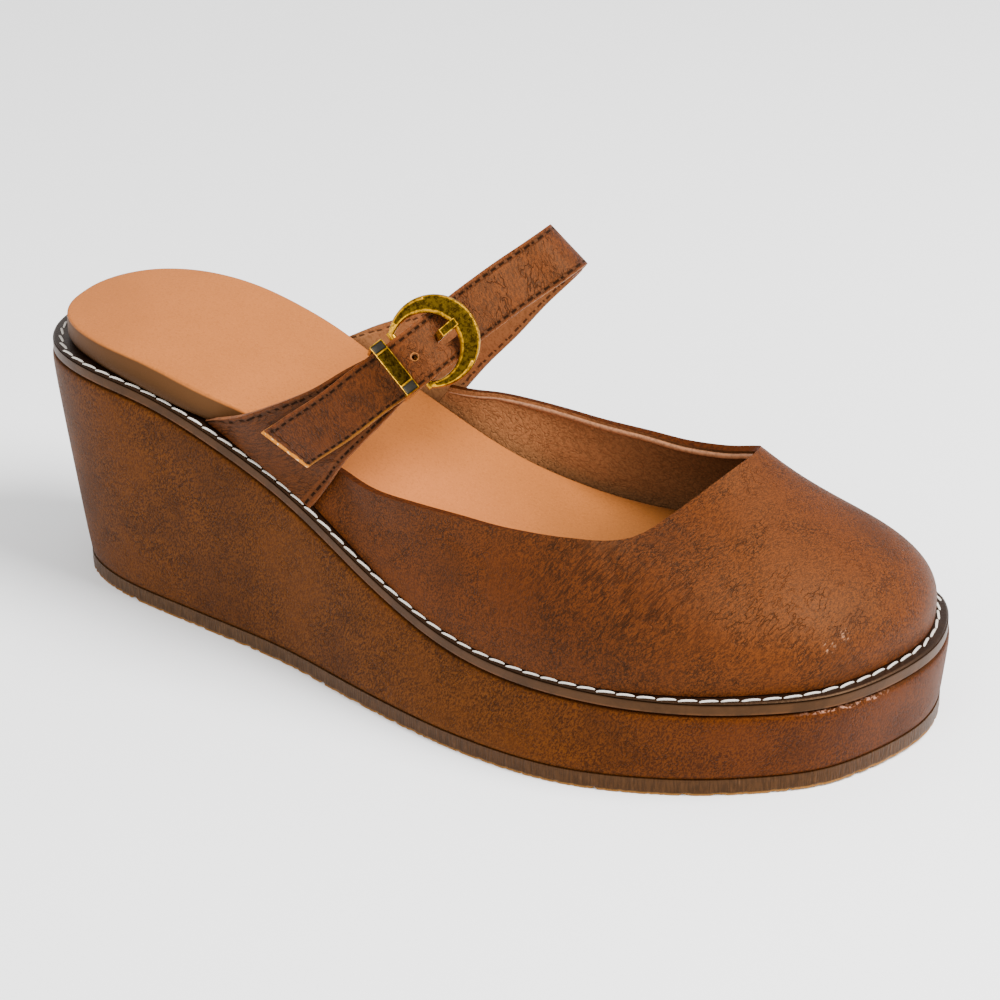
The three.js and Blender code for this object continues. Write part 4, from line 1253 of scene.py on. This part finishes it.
class MakeStage(ClogOperator):
    """Floor, lights and the camera."""

    bl_idname = "clog.stage"
    bl_label = "Stage"

    # Camera fitted to the photograph: angles, distance, and aim in millimetres
    AZIMUTH = 32.965
    ELEVATION = 27.286
    ROLL = -1.075
    DISTANCE = 879.4
    AIM = (-0.8, 0.266, 40)
    LENS = 120.44
    SHIFT = (0.03424, 0.0077)

    # The lights look at a point this high above the ground
    LIT_HEIGHT = 40 * MM

    def make(self, colours, sizes):
        stage = bpy.context.scene.clog_stage
        self.camera()
        self.floor(stage)
        self.lights(stage)

    def camera(self):
        turn, lift, roll = (math.radians(a) for a in (self.AZIMUTH, self.ELEVATION, self.ROLL))
        back = Vector((math.sin(turn) * math.cos(lift), -math.cos(turn) * math.cos(lift), math.sin(lift)))
        right = Vector((math.cos(turn), math.sin(turn), 0))
        up = back.cross(right)
        leant = right * math.cos(roll) + up * math.sin(roll)
        upright = up * math.cos(roll) - right * math.sin(roll)
        data = bpy.data.cameras.new("camera")
        data.sensor_width = 36
        data.lens = self.LENS
        data.shift_x, data.shift_y = self.SHIFT
        data.clip_start = 0.01
        data.clip_end = 20
        camera = bpy.data.objects.new("camera", data)
        stand = Matrix.Translation((Vector(self.AIM) + back * self.DISTANCE) * MM)
        camera.matrix_world = stand @ Matrix((leant, upright, back)).transposed().to_4x4()
        bpy.context.scene.collection.objects.link(camera)
        bpy.context.scene.camera = camera

    def floor(self, stage):
        bm = bmesh.new()
        bmesh.ops.create_grid(bm, x_segments=2, y_segments=2, size=6)
        bmesh.ops.translate(bm, verts=bm.verts, vec=(0, 0, -0.0001))
        mesh = bpy.data.meshes.new("floor")
        bm.to_mesh(mesh)
        bm.free()
        recipe = Recipe("plain floor")
        mesh.materials.append(recipe.done(stage.floor, 0.9))
        floor = bpy.data.objects.new("floor", mesh)
        bpy.context.scene.collection.objects.link(floor)

    def lights(self, stage):
        world = bpy.data.worlds.new("surroundings")
        world.use_nodes = True
        background = world.node_tree.nodes["Background"]
        background.inputs["Color"].default_value = (1, 1, 1, 1)
        background.inputs["Strength"].default_value = stage.world
        bpy.context.scene.world = world
        aim = Vector((0, 0, self.LIT_HEIGHT))
        for name, place, size, power in (
            ("key_light", Vector((0.75, 0.10, 0.95)), 0.7, stage.key),
            ("fill_light", Vector((0.1, -1.1, 0.7)), 0.9, stage.fill),
        ):
            data = bpy.data.lights.new(name, "AREA")
            data.shape = "DISK"
            data.size = size
            data.energy = power
            light = bpy.data.objects.new(name, data)
            turn = (place - aim).to_track_quat("Z", "Y")
            light.matrix_world = Matrix.Translation(place) @ turn.to_matrix().to_4x4()
            bpy.context.scene.collection.objects.link(light)


class ClogPanel(bpy.types.Panel):
    """The clog's settings and its operators."""

    bl_idname = "VIEW3D_PT_clog"
    bl_label = "Wedge clog"
    bl_space_type = "VIEW_3D"
    bl_region_type = "UI"
    bl_category = "Clog"

    def draw(self, context):
        for group in (context.scene.clog_colours, context.scene.clog_sizes, context.scene.clog_stage):
            box = self.layout.box()
            for name in group.bl_rna.properties.keys():
                if name not in ("rna_type", "name"):
                    box.prop(group, name)
        for operator in OPERATORS:
            self.layout.operator(operator.bl_idname)


OPERATORS = (MakeStage, MakeSole, MakeWelt, MakeFootbed, MakeVamp, MakeStraps, MakeBuckle)
CLASSES = (ClogColours, ClogSizes, ClogStage, *OPERATORS, ClogPanel)


def register():
    for cls in CLASSES:
        bpy.utils.register_class(cls)
    bpy.types.Scene.clog_colours = PointerProperty(type=ClogColours)
    bpy.types.Scene.clog_sizes = PointerProperty(type=ClogSizes)
    bpy.types.Scene.clog_stage = PointerProperty(type=ClogStage)


def unregister():
    del bpy.types.Scene.clog_stage
    del bpy.types.Scene.clog_sizes
    del bpy.types.Scene.clog_colours
    for cls in reversed(CLASSES):
        bpy.utils.unregister_class(cls)


def main():
    register()
    for operator in OPERATORS:
        group, name = operator.bl_idname.split(".")
        getattr(getattr(bpy.ops, group), name)()
    bpy.context.view_layer.update()


if __name__ == "__main__":
    main()
